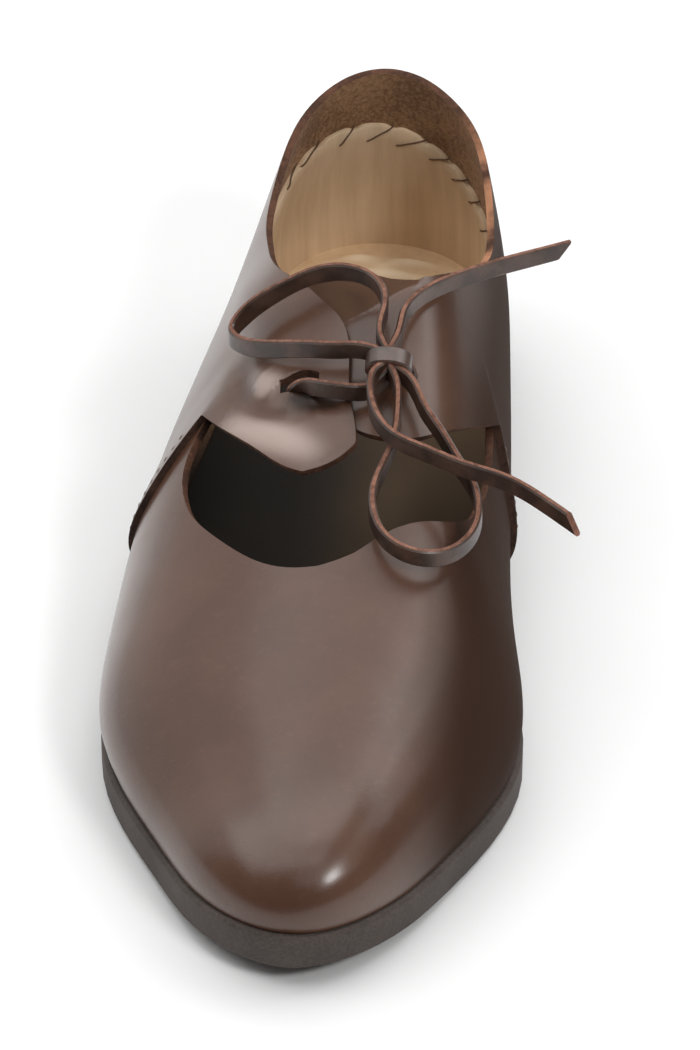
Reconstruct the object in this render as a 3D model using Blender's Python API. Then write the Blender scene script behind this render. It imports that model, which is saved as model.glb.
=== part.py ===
# A medieval low shoe for the right foot: rubber outsole, leather upper with side seams and
# crossing flaps, insole, heel stiffener and a flat leather lace tied in a bow.
# The shoe is drawn in millimetres from a point at its toe: X towards the inner side of the foot,
# Y towards the heel, Z up from the floor.

from collections import namedtuple
from math import pi

import bpy
import numpy as np

MM = 0.001

# Driving sizes, in millimetres
MIDDLE_X = -2.5           # middle of the shoe's width
MIDDLE_Y = 145.3          # middle of the shoe's length
WALL = 2.0                # leather of the upper
LAP = 1.8                 # step where a quarter lies over the vamp
LAP_FADE = 22.0           # length over which a quarter settles down behind its edge
FIT = 0.3                 # gap between pieces that touch
FLAP_LIFT = WALL + 0.5    # outer flap over inner flap
LEDGE = 1.3               # outsole beyond the upper
SWELL_HEIGHT = 16.0       # height above the sole where the walls are fullest
INSOLE = 2.5              # insole leather
STIFFENER = 1.4           # heel stiffener leather
SOLE_EDGE = 1.0           # rounding of the outsole's edges
SOLE_TUCK = 0.3           # most of the outsole's width that the rounding takes, at toe and heel

# Mesh fineness
TOE_COLUMNS = 18
EAR_COLUMNS = 5
QUARTER_COLUMNS = 33
EAR_ROWS = 7
THROAT_ROWS = 9
FLAP_ROWS = 11
PLAN_POINTS = 720
OUTSOLE_STATIONS = 61
INSOLE_STATIONS = 41
SHARP_ANGLE = 0.6         # edges that turn more than this stay crisp, in radians
SMALL_STEP = 0.02         # step over which a direction is measured, in sections or shares

# The last, section by section from toe to heel. Foot: where the wall meets the sole.
# Top: the ridge that the section climbs to. Swell: how far the wall bellies out.
# Steep: below 1 the wall stands up straighter before it turns in.
Section = namedtuple(
    "Section", "name outer_x outer_y inner_x inner_y top_x top_y outer_swell inner_swell outer_steep inner_steep")
LAST = (
    Section("toe tip", -0.5, 2.4, -0.5, 2.4, 5.0, 18.0, 0.8, 0.8, 0.62, 0.62),
    Section("toe corner", -22.4, 14.8, 20.8, 16.0, 5.8, 25.0, 1.2, 1.0, 0.74, 0.68),
    Section("toes", -36.2, 38.0, 34.2, 38.0, 7.0, 42.0, 2.0, 1.6, 0.92, 0.78),
    Section("ball", -50.8, 70.0, 48.0, 72.0, 9.5, 71.0, 3.8, 2.4, 1.00, 0.76),
    Section("vamp", -52.8, 105.0, 45.6, 106.0, 13.5, 105.0, 3.8, 2.6, 1.00, 0.74),
    Section("side seam", -49.5, 140.0, 40.6, 140.0, 13.5, 140.0, 4.6, 4.2, 0.98, 0.72),
    Section("instep", -42.8, 178.0, 38.0, 178.0, 11.0, 176.0, 5.4, 5.0, 1.12, 0.74),
    Section("collar", -35.4, 218.0, 36.2, 218.0, 9.0, 212.0, 4.6, 4.4, 1.70, 0.85),
    Section("heel side", -30.2, 251.0, 34.8, 251.0, 7.5, 238.0, 2.6, 3.0, 1.45, 0.84),
    Section("heel corner", -20.6, 277.0, 26.2, 277.0, 6.5, 250.0, 2.0, 2.2, 1.15, 0.98),
    Section("heel back", 2.8, 287.8, 2.8, 287.8, 6.0, 254.0, 2.0, 2.0, 1.00, 1.00),
)
HEEL = len(LAST) - 1
ROUND = 2 * HEEL

# The ridge of the last, toe to ankle, as if the collar were closed
Height = namedtuple("Height", "y z")
RIDGE = (
    Height(0.0, 26.0), Height(18.0, 33.5), Height(40.0, 39.5), Height(71.0, 46.0),
    Height(105.0, 54.5), Height(140.0, 65.0), Height(170.0, 76.0), Height(200.0, 89.0),
    Height(230.0, 103.0), Height(262.0, 117.0), Height(292.0, 127.0),
)

# The outsole from the side: where the upper stands on it, then its underside
SEAT = (
    Height(0.0, 15.8), Height(20.0, 13.1), Height(45.0, 10.9), Height(72.0, 10.1),
    Height(105.0, 10.0), Height(140.0, 10.5), Height(175.0, 12.1), Height(205.0, 14.2),
    Height(235.0, 15.7), Height(265.0, 16.2), Height(292.0, 16.2),
)
TOE_SPRING = 6.2          # toe tip above the floor
TREAD_START = 62.0        # forefoot tread, from here
TREAD_END = 132.0         # to here
WAIST_RISE = 4.8          # hollow under the arch
BREAST = 205.0            # front of the heel
HEEL_END = 272.0          # the heel curls up a little behind this
HEEL_CURL = 1.2
HEEL_BACK = 289.0         # back of the outsole

# Edges of the leather. Section: place along the last, counted in sections from the toe.
# Share: how far up from the sole to the ridge; above 1 it lies past the ridge, on the far side.
Edge = namedtuple("Edge", "name section share")
THROAT = {
    "outer": (Edge("ridge", 4.06, 1.0), Edge("front", 3.85, 0.935), Edge("front", 3.757, 0.845),
              Edge("front", 3.80, 0.762), Edge("front", 3.995, 0.663), Edge("scoop", 4.33, 0.548),
              Edge("scoop", 4.634, 0.468), Edge("ear foot", 4.85, 0.437)),
    "inner": (Edge("ridge", 4.06, 1.0), Edge("front", 4.14, 0.945), Edge("front", 4.235, 0.795),
              Edge("front", 4.33, 0.685), Edge("corner", 4.44, 0.61), Edge("ear foot", 4.70, 0.52)),
}
EAR = {
    "outer": (Edge("ear foot", 4.85, 0.437), Edge("ear", 5.05, 0.418), Edge("ear", 5.20, 0.418),
              Edge("ear", 5.33, 0.434), Edge("ear top", 5.455, 0.462)),
    "inner": (Edge("ear foot", 4.70, 0.52), Edge("ear", 4.885, 0.466), Edge("ear", 5.06, 0.432),
              Edge("ear", 5.315, 0.40), Edge("ear", 5.50, 0.385), Edge("ear top", 5.66, 0.378)),
}
EAR_FOOT = {"outer": 4.60, "inner": 4.50}
SEAM = {
    "outer": (Edge("seam foot", 5.12, 0.0), Edge("seam", 5.10, 0.20), Edge("seam", 5.26, 0.335),
              Edge("ear top", 5.455, 0.462)),
    "inner": (Edge("seam foot", 5.30, 0.0), Edge("seam", 5.30, 0.19), Edge("seam", 5.47, 0.295),
              Edge("ear top", 5.66, 0.378)),
}
FLAP = {
    "outer": (Edge("ear top", 5.455, 0.462), Edge("lower edge", 5.246, 0.533), Edge("lower edge", 5.086, 0.589),
              Edge("lower edge", 4.817, 0.683), Edge("lower edge", 4.693, 0.724), Edge("lower edge", 4.60, 0.763),
              Edge("tip", 4.549, 0.801)),
    "inner": (Edge("ear top", 5.66, 0.378), Edge("lower edge", 5.363, 0.528), Edge("lower edge", 5.152, 0.665),
              Edge("lower edge", 5.014, 0.777), Edge("lower edge", 4.877, 0.91), Edge("lower edge", 4.845, 1.0),
              Edge("tip", 4.90, 1.08)),
}
RIM = {
    "outer": (Edge("tip", 4.549, 0.801), Edge("tip", 4.545, 0.832), Edge("tip", 4.64, 0.893),
              Edge("flap end", 4.80, 0.928), Edge("flap end", 5.02, 0.912), Edge("flap end", 5.30, 0.90),
              Edge("flap end", 5.58, 0.895), Edge("flap corner", 5.766, 0.871), Edge("collar front", 5.903, 0.81),
              Edge("collar front", 6.062, 0.742), Edge("collar front", 6.224, 0.665),
              Edge("collar front", 6.413, 0.575), Edge("collar front", 6.72, 0.47),
              Edge("collar side", 7.04, 0.395), Edge("collar side", 7.34, 0.347), Edge("collar side", 7.70, 0.325),
              Edge("collar back", 8.10, 0.334), Edge("collar back", 8.55, 0.346), Edge("collar back", 9.0, 0.358),
              Edge("collar back", 9.5, 0.379), Edge("heel back", HEEL, 0.387)),
    "inner": (Edge("tip", 4.90, 1.08), Edge("flap end", 5.06, 1.13), Edge("flap end", 5.30, 1.145),
              Edge("flap end", 5.55, 1.19), Edge("flap end", 5.76, 1.25), Edge("flap corner", 5.95, 1.275),
              Edge("flap corner", 6.06, 1.21), Edge("collar front", 6.10, 1.11),
              Edge("collar front", 6.11, 1.0), Edge("collar front", 6.13, 0.89),
              Edge("collar front", 6.22, 0.775),
              Edge("collar front", 6.36, 0.66), Edge("collar front", 6.54, 0.553), Edge("collar side", 6.80, 0.44),
              Edge("collar side", 7.03, 0.37), Edge("collar side", 7.35, 0.32), Edge("collar side", 7.80, 0.32),
              Edge("collar back", 8.30, 0.336), Edge("collar back", 8.70, 0.345), Edge("collar back", 9.10, 0.357),
              Edge("collar back", 9.5, 0.377), Edge("heel back", HEEL, 0.387)),
}
# Foot of a quarter: the section that each share of its columns stands on
Pace = namedtuple("Pace", "share section")
QUARTER_FOOT = {
    "outer": (Pace(0.0, 5.12), Pace(0.04, 5.265), Pace(0.13, 5.42), Pace(0.25, 5.61), Pace(0.38, 6.07),
              Pace(0.50, 6.66), Pace(0.62, 7.48), Pace(1.0, HEEL)),
    "inner": (Pace(0.0, 5.30), Pace(0.05, 5.356), Pace(0.12, 5.45), Pace(0.20, 5.52), Pace(0.28, 5.81),
              Pace(0.36, 6.48), Pace(0.46, 6.97), Pace(0.55, 7.30), Pace(0.67, 7.70), Pace(1.0, HEEL)),
}
SECTION_LENGTH = 36.0     # sections are about this far apart, and a share of 1 is about
SHARE_LENGTH = 75.0       # this long: both space the points along an edge evenly

# Rows of a quarter over which its lap ends and the outer flap rises, counted from the ear's top,
# and shares of its columns over which that flap settles again towards the heel
LAP_END = (0, 4)
FLAP_RISE = (-1, 6)
FLAP_SETTLE = (0.37, 0.54)

# Heel stiffener: a half-round inside the heel, in sections each way and shares of the way up.
# Its top edge, from the outer tip to the inner one, falls away sooner on the inner side.
STIFFENER_REACH = 2.6
STIFFENER_TOP = 0.263
STIFFENER_FOOT = 0.032
Arch = namedtuple("Arch", "across share")
STIFFENER_EDGE = (
    Arch(-1.0, 0.14), Arch(-0.89, 0.48), Arch(-0.78, 0.65), Arch(-0.64, 0.78), Arch(-0.48, 0.885),
    Arch(-0.31, 0.95), Arch(-0.14, 0.985), Arch(0.0, 0.98), Arch(0.14, 0.915), Arch(0.25, 0.835),
    Arch(0.36, 0.745), Arch(0.46, 0.655), Arch(0.60, 0.51), Arch(0.80, 0.30), Arch(1.0, 0.14),
)
STIFFENER_COLUMNS = 18
STIFFENER_ROWS = 6

# The lace: a flat strip that stands on its edge, tied over the flaps
LACE_WIDTH = 4.8
LACE_THICK = 1.8
LACE_STEP = 5.0           # points along the lace are about this far apart
SLIT_ROOM = 0.6           # slit beyond the lace on each side
KNOT_MIDDLE = (12.0, 152.2, 76.2)
KNOT_HALF = (5.4, 3.6, 3.6)
KNOT_BLUNT = 0.7          # below 1 the knot is squarer than an egg
KNOT_TURNS = 12
KNOT_RINGS = 7

# Routes of the lace, from its outer end to its inner end or from the knot outwards
Spot = namedtuple("Spot", "x y z")
LOOP_SIDE = (
    Spot(9.6, 156.4, 78.0), Spot(10.3, 164.0, 82.0), Spot(7.5, 171.5, 84.2), Spot(-0.5, 175.5, 84.6),
    Spot(-9.0, 175.8, 82.6), Spot(-18.0, 174.8, 77.6), Spot(-26.0, 173.4, 71.0), Spot(-28.8, 170.6, 67.4),
    Spot(-26.6, 166.0, 67.8), Spot(-20.5, 160.6, 70.4), Spot(-8.2, 154.4, 75.4), Spot(0.0, 152.6, 76.8),
    Spot(5.9, 152.4, 77.0),
)
LOOP_FRONT = (
    Spot(13.6, 148.0, 74.6), Spot(15.3, 140.0, 70.6), Spot(15.2, 132.5, 67.4), Spot(13.6, 124.5, 64.4),
    Spot(11.2, 116.5, 62.0), Spot(11.2, 107.4, 60.4), Spot(14.8, 99.4, 58.6), Spot(21.4, 95.2, 57.4),
    Spot(27.8, 96.0, 56.4), Spot(33.4, 101.2, 55.8), Spot(36.7, 110.6, 56.4), Spot(35.7, 119.0, 58.6),
    Spot(30.6, 126.0, 63.4), Spot(26.6, 131.5, 67.0), Spot(21.6, 139.5, 70.6), Spot(17.0, 148.2, 74.4),
)
END_UPPER = (
    Spot(13.9, 156.1, 77.8), Spot(15.0, 162.0, 80.4), Spot(18.0, 170.5, 81.6), Spot(24.6, 180.0, 81.6),
    Spot(35.9, 189.9, 80.6), Spot(46.0, 196.4, 79.8), Spot(56.4, 202.6, 79.2),
)
END_LOWER = (
    Spot(9.2, 147.9, 76.4), Spot(8.2, 140.0, 74.0), Spot(10.2, 131.6, 72.0), Spot(15.2, 125.0, 70.4),
    Spot(23.4, 121.0, 69.2), Spot(32.3, 117.6, 67.8), Spot(44.2, 113.2, 65.0), Spot(53.4, 106.4, 62.2),
    Spot(61.0, 98.4, 59.8),
)
BAR_OUTER = (
    Spot(-11.2, 150.4, 60.4), Spot(-10.8, 150.4, 66.0), Spot(-7.6, 150.0, 71.4), Spot(-1.6, 148.8, 73.6),
    Spot(5.6, 147.6, 74.0),
)
BAR_INNER = (Spot(16.2, 152.2, 60.4), Spot(16.2, 152.2, 66.0), Spot(16.2, 152.2, 72.2))
BAR_SLIT = (-9.9, 150.2, 67.0)
SLANT_LENGTH = 9.2        # slit for the outer bar, which bends as it leaves the leather
SLIT_DEPTH = 7.0
UPRIGHT = (0.0, 0.0, 1.0)
ACROSS = (1.0, 0.0, 0.0)

COLOURS = {
    "leather": ((0.13, 0.085, 0.062), 0.42),
    "rubber": ((0.062, 0.05, 0.045), 0.75),
    "tan": ((0.27, 0.17, 0.08), 0.7),
    "lace": ((0.15, 0.09, 0.065), 0.6),
}


# Curves

def closed_curve(rows):
    """Smooth closed curve through rows of values set one step apart."""
    values = np.array(rows, float)
    count = len(values)
    system = 4 * np.eye(count) + np.roll(np.eye(count), 1, 0) + np.roll(np.eye(count), -1, 0)
    bend = np.linalg.solve(system, 6 * (np.roll(values, -1, 0) - 2 * values + np.roll(values, 1, 0)))

    def at(step):
        step = np.asarray(step, float) % count
        low = np.floor(step).astype(int) % count
        high = (low + 1) % count
        part = (step - np.floor(step))[..., None]
        rest = 1 - part
        return (values[low] * rest + values[high] * part
                + (rest**3 - rest) * bend[low] / 6 + (part**3 - part) * bend[high] / 6)

    return at


def open_curve(knots, values):
    """Smooth curve through values at growing knots, straight at both ends."""
    knots = np.array(knots, float)
    values = np.array(values, float)
    span = np.diff(knots)
    count = len(knots)
    system = np.eye(count)
    load = np.zeros_like(values)
    for k in range(1, count - 1):
        system[k, k - 1:k + 2] = span[k - 1], 2 * (span[k - 1] + span[k]), span[k]
        load[k] = 6 * ((values[k + 1] - values[k]) / span[k] - (values[k] - values[k - 1]) / span[k - 1])
    bend = np.linalg.solve(system, load)

    def at(place):
        place = np.clip(np.asarray(place, float), knots[0], knots[-1])
        low = np.clip(np.searchsorted(knots, place, side="right") - 1, 0, count - 2)
        width = span[low]
        part = (place - knots[low]) / width
        rest = 1 - part
        if values.ndim > 1:
            width, part, rest = width[..., None], part[..., None], rest[..., None]
        return (values[low] * rest + values[low + 1] * part
                + ((rest**3 - rest) * bend[low] + (part**3 - part) * bend[low + 1]) * width**2 / 6)

    return at


def height_curve(rows):
    return open_curve([row.y for row in rows], [row.z for row in rows])


def smooth_step(low, high, value):
    part = np.clip((value - low) / (high - low), 0.0, 1.0)
    return part * part * (3 - 2 * part)


# The last

def section_row(section, side):
    if side == "outer":
        return (section.outer_x, section.outer_y, section.top_x, section.top_y,
                section.outer_swell, section.outer_steep)
    return (section.inner_x, section.inner_y, section.top_x, section.top_y,
            section.inner_swell, section.inner_steep)


SECTION_AT = closed_curve([section_row(section, "outer") for section in LAST]
                          + [section_row(section, "inner") for section in LAST[-2:0:-1]])
RIDGE_AT = height_curve(RIDGE)
SEAT_AT = height_curve(SEAT)


def round_turn(section, side):
    """Place on the closed round of the last, out along the outer side and back along the inner."""
    return section if side == "outer" else ROUND - section


def last_point(turn, share):
    """Point on the outside of the upper, from its place round the shoe and its share of the way up."""
    turn = np.asarray(turn, float)
    share = np.asarray(share, float)
    past = share > 1
    turn = np.where(past, ROUND - turn, turn)
    share = np.where(past, 2 - share, share)
    foot_x, foot_y, top_x, top_y, swell, steep = np.moveaxis(SECTION_AT(turn), -1, 0)
    angle = share * pi / 2
    cosine = np.maximum(np.cos(angle), 0.0)
    inward = 1 - cosine**steep
    rise = np.sin(angle)
    away_x = foot_x - top_x
    away_y = foot_y - top_y
    away = np.hypot(away_x, away_y)
    level = rise * (RIDGE_AT(foot_y) - SEAT_AT(foot_y)) / SWELL_HEIGHT
    push = swell * level * np.exp(1 - level) * cosine / away
    x = foot_x - away_x * (inward - push)
    y = foot_y - away_y * (inward - push)
    seat = SEAT_AT(y)
    return np.stack([x, y, seat + rise * (RIDGE_AT(y) - seat)], -1)


# Patches of the upper, laid out in sections along the last and shares of the way up

def edge_line(edges, count):
    """Evenly spaced points along an edge table, as section and share."""
    scale = np.array([SECTION_LENGTH, SHARE_LENGTH])
    place = np.array([(edge.section, edge.share) for edge in edges]) * scale
    reach = np.concatenate([[0], np.cumsum(np.hypot(*np.diff(place, axis=0).T))])
    return open_curve(reach, place)(np.linspace(0, reach[-1], count + 1)) / scale


def foot_line(start, end, count):
    return np.stack([np.linspace(start, end, count + 1), np.zeros(count + 1)], -1)


def paced_foot(side):
    """Foot of a quarter, close-set below the flap and even towards the heel."""
    paces = QUARTER_FOOT[side]
    place = open_curve([pace.share for pace in paces], [pace.section for pace in paces])
    return np.stack([place(np.linspace(0, 1, QUARTER_COLUMNS + 1)), np.zeros(QUARTER_COLUMNS + 1)], -1)


def rising_line(foot, top, count):
    return np.linspace((foot, 0.0), top, count + 1)


def fill_patch(foot, rim, front, back):
    """Grid between four edge lines, in section and share."""
    along = np.linspace(0, 1, len(foot))[:, None, None]
    up = np.linspace(0, 1, len(front))[None, :, None]
    corners = ((1 - along) * (1 - up) * foot[0] + along * (1 - up) * foot[-1]
               + (1 - along) * up * rim[0] + along * up * rim[-1])
    return ((1 - up) * foot[:, None] + up * rim[:, None]
            + (1 - along) * front[None] + along * back[None] - corners)


def side_patches(side):
    """Toe, ear and quarter grids of one side of the shoe."""
    throat = edge_line(THROAT[side], THROAT_ROWS)[::-1]
    ear_start = EAR_FOOT[side]
    seam_start = SEAM[side][0].section
    ear = edge_line(EAR[side], EAR_COLUMNS)
    ear_front = rising_line(ear_start, throat[0], EAR_ROWS)
    seam = edge_line(SEAM[side], EAR_ROWS)
    rows = EAR_ROWS + THROAT_ROWS
    ridge = np.stack([np.linspace(0, throat[-1][0], TOE_COLUMNS + 1), np.ones(TOE_COLUMNS + 1)], -1)
    toe_front = np.stack([np.zeros(rows + 1), np.linspace(0, 1, rows + 1)], -1)
    toe = fill_patch(foot_line(0, ear_start, TOE_COLUMNS), ridge, toe_front,
                     np.concatenate([ear_front, throat[1:]]))
    ears = fill_patch(foot_line(ear_start, seam_start, EAR_COLUMNS), ear, ear_front, seam)
    flap = edge_line(FLAP[side], FLAP_ROWS)
    rim = edge_line(RIM[side], QUARTER_COLUMNS)
    heel_rows = EAR_ROWS + FLAP_ROWS
    heel = np.stack([np.full(heel_rows + 1, HEEL), np.linspace(0, rim[-1][1], heel_rows + 1)], -1)
    quarter = fill_patch(paced_foot(side), rim, np.concatenate([seam, flap[1:]]), heel)
    return toe, ears, quarter


class Sheet:
    """Points and faces of the upper's leather before it gets its thickness."""

    def __init__(self):
        self.index = {}
        self.points = []
        self.proud = []
        self.under = []
        self.faces = []
        self.lapped = []

    def vertex(self, key, point, proud, under):
        if key not in self.index:
            self.index[key] = len(self.points)
            self.points.append(point)
            self.proud.append(proud)
            self.under.append(under)
        return self.index[key]

    def face(self, corners, side, lapped):
        corners = list(dict.fromkeys(corners))
        self.faces.append(corners[::-1] if side == "outer" else corners)
        self.lapped.append(lapped)

    def normals(self):
        points = np.array(self.points)
        normals = np.zeros_like(points)
        for corners in self.faces:
            ring = points[corners]
            normals[corners] += np.cross(ring, np.roll(ring, -1, 0)).sum(0)
        return normals / np.linalg.norm(normals, axis=1)[:, None]


def toe_key(side, column, row):
    last_row = EAR_ROWS + THROAT_ROWS
    if column == 0 and row == last_row:
        return toe_key(side, 1, row)
    return ("toe", "both" if column == 0 or row == last_row else side, column, row)


def quarter_key(side, column, row):
    return ("quarter", "both" if column == QUARTER_COLUMNS else side, column, row)


def ear_key(side, column, row):
    if column == 0:
        return toe_key(side, TOE_COLUMNS, row)
    if column == EAR_COLUMNS:
        return quarter_key(side, 0, row)
    return ("ear", side, column, row)


def add_grid(sheet, side, grid, key, lapped, lifts):
    turns = round_turn(grid[..., 0], side)
    points = last_point(turns, grid[..., 1])
    columns, rows = grid.shape[:2]
    ids = np.zeros((columns, rows), int)
    for column in range(columns):
        for row in range(rows):
            proud, under = lifts(column, row, points[:, row])
            ids[column, row] = sheet.vertex(key(side, column, row), points[column, row], proud, under)
    for column in range(columns - 1):
        for row in range(rows - 1):
            corners = (ids[column, row], ids[column + 1, row], ids[column + 1, row + 1], ids[column, row + 1])
            sheet.face(corners, side, lapped)


def flush(column, row, line):
    return 0.0, -WALL


def quarter_lift(side):
    """How far a quarter stands proud: over the vamp at its front edge, and over the other flap."""
    def lift(column, row, line):
        behind = np.linalg.norm(line[column] - line[0])
        on_flap = smooth_step(*LAP_END, row - EAR_ROWS)
        lap = LAP * (1 - smooth_step(0.0, LAP_FADE, behind)) * (1 - on_flap)
        over = FLAP_LIFT * smooth_step(*FLAP_RISE, row - EAR_ROWS) if side == "outer" else 0.0
        over *= 1 - smooth_step(*FLAP_SETTLE, column / QUARTER_COLUMNS)
        return lap + over, over - WALL + lap * on_flap
    return lift


def upper_sheet():
    sheet = Sheet()
    for side in ("outer", "inner"):
        toe, ears, quarter = side_patches(side)
        add_grid(sheet, side, quarter, quarter_key, True, quarter_lift(side))
        add_grid(sheet, side, toe, toe_key, False, flush)
        add_grid(sheet, side, ears, ear_key, False, flush)
    return sheet


def thick_sheet(sheet):
    """Closed solid of the sheet: outside, inside, rims, and the step where a quarter laps the vamp."""
    points = np.array(sheet.points)
    normals = sheet.normals()
    outside = points + normals * np.array(sheet.proud)[:, None]
    inside = points + normals * np.array(sheet.under)[:, None]
    in_lap = {k for corners, lapped in zip(sheet.faces, sheet.lapped) if lapped for k in corners}
    in_vamp = {k for corners, lapped in zip(sheet.faces, sheet.lapped) if not lapped for k in corners}
    seam = sorted(in_lap & in_vamp)
    count = len(points)
    low = {k: 2 * count + n for n, k in enumerate(seam)}
    corners_of = {}
    faces = []
    for corners, lapped in zip(sheet.faces, sheet.lapped):
        faces.append([k if lapped else low.get(k, k) for k in corners])
        faces.append([k + count for k in reversed(corners)])
        for start, end in zip(corners, corners[1:] + corners[:1]):
            corners_of[start, end] = lapped
    for (start, end), lapped in corners_of.items():
        other = corners_of.get((end, start))
        top = [k if lapped else low.get(k, k) for k in (start, end)]
        if other is None:
            faces.append([top[1], top[0], start + count, end + count])
        elif lapped and not other:
            faces.append([top[1], top[0], low[start], low[end]])
    open_starts = {edge[0]: lapped for edge, lapped in corners_of.items() if edge[::-1] not in corners_of}
    for k in seam:
        if k in open_starts:
            gap = [k, low[k], k + count]
            faces.append(gap if open_starts[k] else gap[::-1])
    return np.concatenate([outside, inside, points[seam]]), faces


# Sole pieces

def plan_line(inset, stations):
    """Left and right sides of the shoe's plan, moved in or out, at stations from toe to heel."""
    turns = np.linspace(0, ROUND, PLAN_POINTS, endpoint=False)
    foot = SECTION_AT(turns)[:, :2]
    along = np.roll(foot, -1, 0) - np.roll(foot, 1, 0)
    along /= np.linalg.norm(along, axis=1)[:, None]
    plan = foot + inset * np.stack([along[:, 1], -along[:, 0]], -1)
    toe = int(np.argmin(plan[:, 1]))
    plan = np.roll(plan, -toe, 0)
    heel = int(np.argmax(plan[:, 1]))
    outer = plan[:heel + 1]
    inner = np.concatenate([plan[heel:], plan[:1]])[::-1]
    spread = (1 - np.cos(np.linspace(0, pi, stations))) / 2
    y = outer[0, 1] + (outer[-1, 1] - outer[0, 1]) * spread
    return y, np.interp(y, outer[:, 1], outer[:, 0]), np.interp(y, inner[:, 1], inner[:, 0])


def slab(levels):
    """Solid through level outlines, each with its Y, left X, right X and Z at every station."""
    points = []
    faces = []
    stations = len(levels[0][0])
    for y, left, right, z in levels:
        points += [(left[k], y[k], z[k]) for k in range(stations)]
        points += [(right[k], y[k], z[k]) for k in range(stations - 2, 0, -1)]
    ring = 2 * stations - 2
    for level in range(len(levels) - 1):
        for k in range(ring):
            nxt = (k + 1) % ring
            faces.append((level * ring + k, (level + 1) * ring + k, (level + 1) * ring + nxt, level * ring + nxt))
    top = (len(levels) - 1) * ring
    for base, turned in ((0, False), (top, True)):
        for k in range(stations - 1):
            corners = [base + k, base + k + 1, base + (ring - k - 1) % ring, base + (ring - k) % ring]
            corners = list(dict.fromkeys(corners))
            faces.append(corners[::-1] if turned else corners)
    return np.array(points), faces


# Objects

def material(name):
    colour, roughness = COLOURS[name]
    found = bpy.data.materials.get(name)
    if found:
        return found
    made = bpy.data.materials.new(name)
    made.use_nodes = True
    surface = made.node_tree.nodes["Principled BSDF"]
    surface.inputs["Base Color"].default_value = (*colour, 1.0)
    surface.inputs["Roughness"].default_value = roughness
    surface.inputs["Metallic"].default_value = 0.0
    return made


def solid(name, points, faces, finish, parent):
    mesh = bpy.data.meshes.new(name)
    mesh.from_pydata((np.asarray(points) * MM).tolist(), [], [list(map(int, face)) for face in faces])
    mesh.materials.append(material(finish))
    mesh.shade_smooth()
    mesh.set_sharp_from_angle(angle=SHARP_ANGLE)
    made = bpy.data.objects.new(name, mesh)
    bpy.context.collection.objects.link(made)
    made.parent = parent
    return made


def underside(y):
    """Height of the outsole's underside: toe spring, forefoot tread, arch and heel."""
    toe = TOE_SPRING * np.maximum(1 - y / TREAD_START, 0.0)**2
    arch = WAIST_RISE * smooth_step(TREAD_END, BREAST, y) * (y < BREAST)
    return toe + arch + HEEL_CURL * smooth_step(HEEL_END, HEEL_BACK, y)


def outsole(parent):
    y, left, right = plan_line(-LEDGE, OUTSOLE_STATIONS)
    breaks = (TREAD_START, TREAD_END, BREAST - SOLE_EDGE, BREAST, HEEL_END)
    stations = np.sort(np.concatenate([y, breaks]))
    left = np.interp(stations, y, left)
    right = np.interp(stations, y, right)
    tuck = np.minimum(SOLE_EDGE, (right - left) * SOLE_TUCK)
    bottom = underside(stations)
    top = SEAT_AT(stations) - FIT
    levels = [
        (stations, left + tuck, right - tuck, bottom),
        (stations, left, right, bottom + SOLE_EDGE),
        (stations, left, right, top - SOLE_EDGE),
        (stations, left + tuck, right - tuck, top),
    ]
    solid("outsole", *slab(levels), "rubber", parent)


def insole(parent):
    y, left, right = plan_line(WALL + FIT, INSOLE_STATIONS)
    base = SEAT_AT(y)
    levels = [(y, left, right, base), (y, left, right, base + INSOLE)]
    solid("insole", *slab(levels), "tan", parent)


def heel_stiffener(parent):
    across = np.linspace(-1, 1, STIFFENER_COLUMNS + 1)
    turns = HEEL + across * STIFFENER_REACH
    arch = open_curve([row.across for row in STIFFENER_EDGE], [row.share for row in STIFFENER_EDGE])(across)
    tops = STIFFENER_FOOT + (STIFFENER_TOP - STIFFENER_FOOT) * arch
    up = np.linspace(0, 1, STIFFENER_ROWS + 1)
    shares = STIFFENER_FOOT + (tops[:, None] - STIFFENER_FOOT) * up[None]
    turns = np.repeat(turns[:, None], STIFFENER_ROWS + 1, axis=1)
    points = last_point(turns, shares)
    ahead = last_point(turns + SMALL_STEP, shares) - last_point(turns - SMALL_STEP, shares)
    rising = last_point(turns, shares + SMALL_STEP) - last_point(turns, shares - SMALL_STEP)
    inward = np.cross(ahead, rising)
    inward /= np.linalg.norm(inward, axis=-1)[..., None]
    near = (points + inward * (WALL + FIT)).reshape(-1, 3)
    far = (points + inward * (WALL + FIT + STIFFENER)).reshape(-1, 3)
    width = STIFFENER_ROWS + 1
    count = len(near)
    sheet_faces = []
    for column in range(STIFFENER_COLUMNS):
        for row in range(STIFFENER_ROWS):
            k = column * width + row
            sheet_faces.append([k, k + width, k + width + 1, k + 1])
    faces = [face[::-1] for face in sheet_faces] + [[k + count for k in face] for face in sheet_faces]
    edges = {}
    for face in sheet_faces:
        for start, end in zip(face, face[1:] + face[:1]):
            edges[start, end] = True
    for start, end in edges:
        if (end, start) not in edges:
            faces.append([start, end, end + count, start + count])
    solid("heel_stiffener", np.concatenate([near, far]), faces, "tan", parent)


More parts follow.
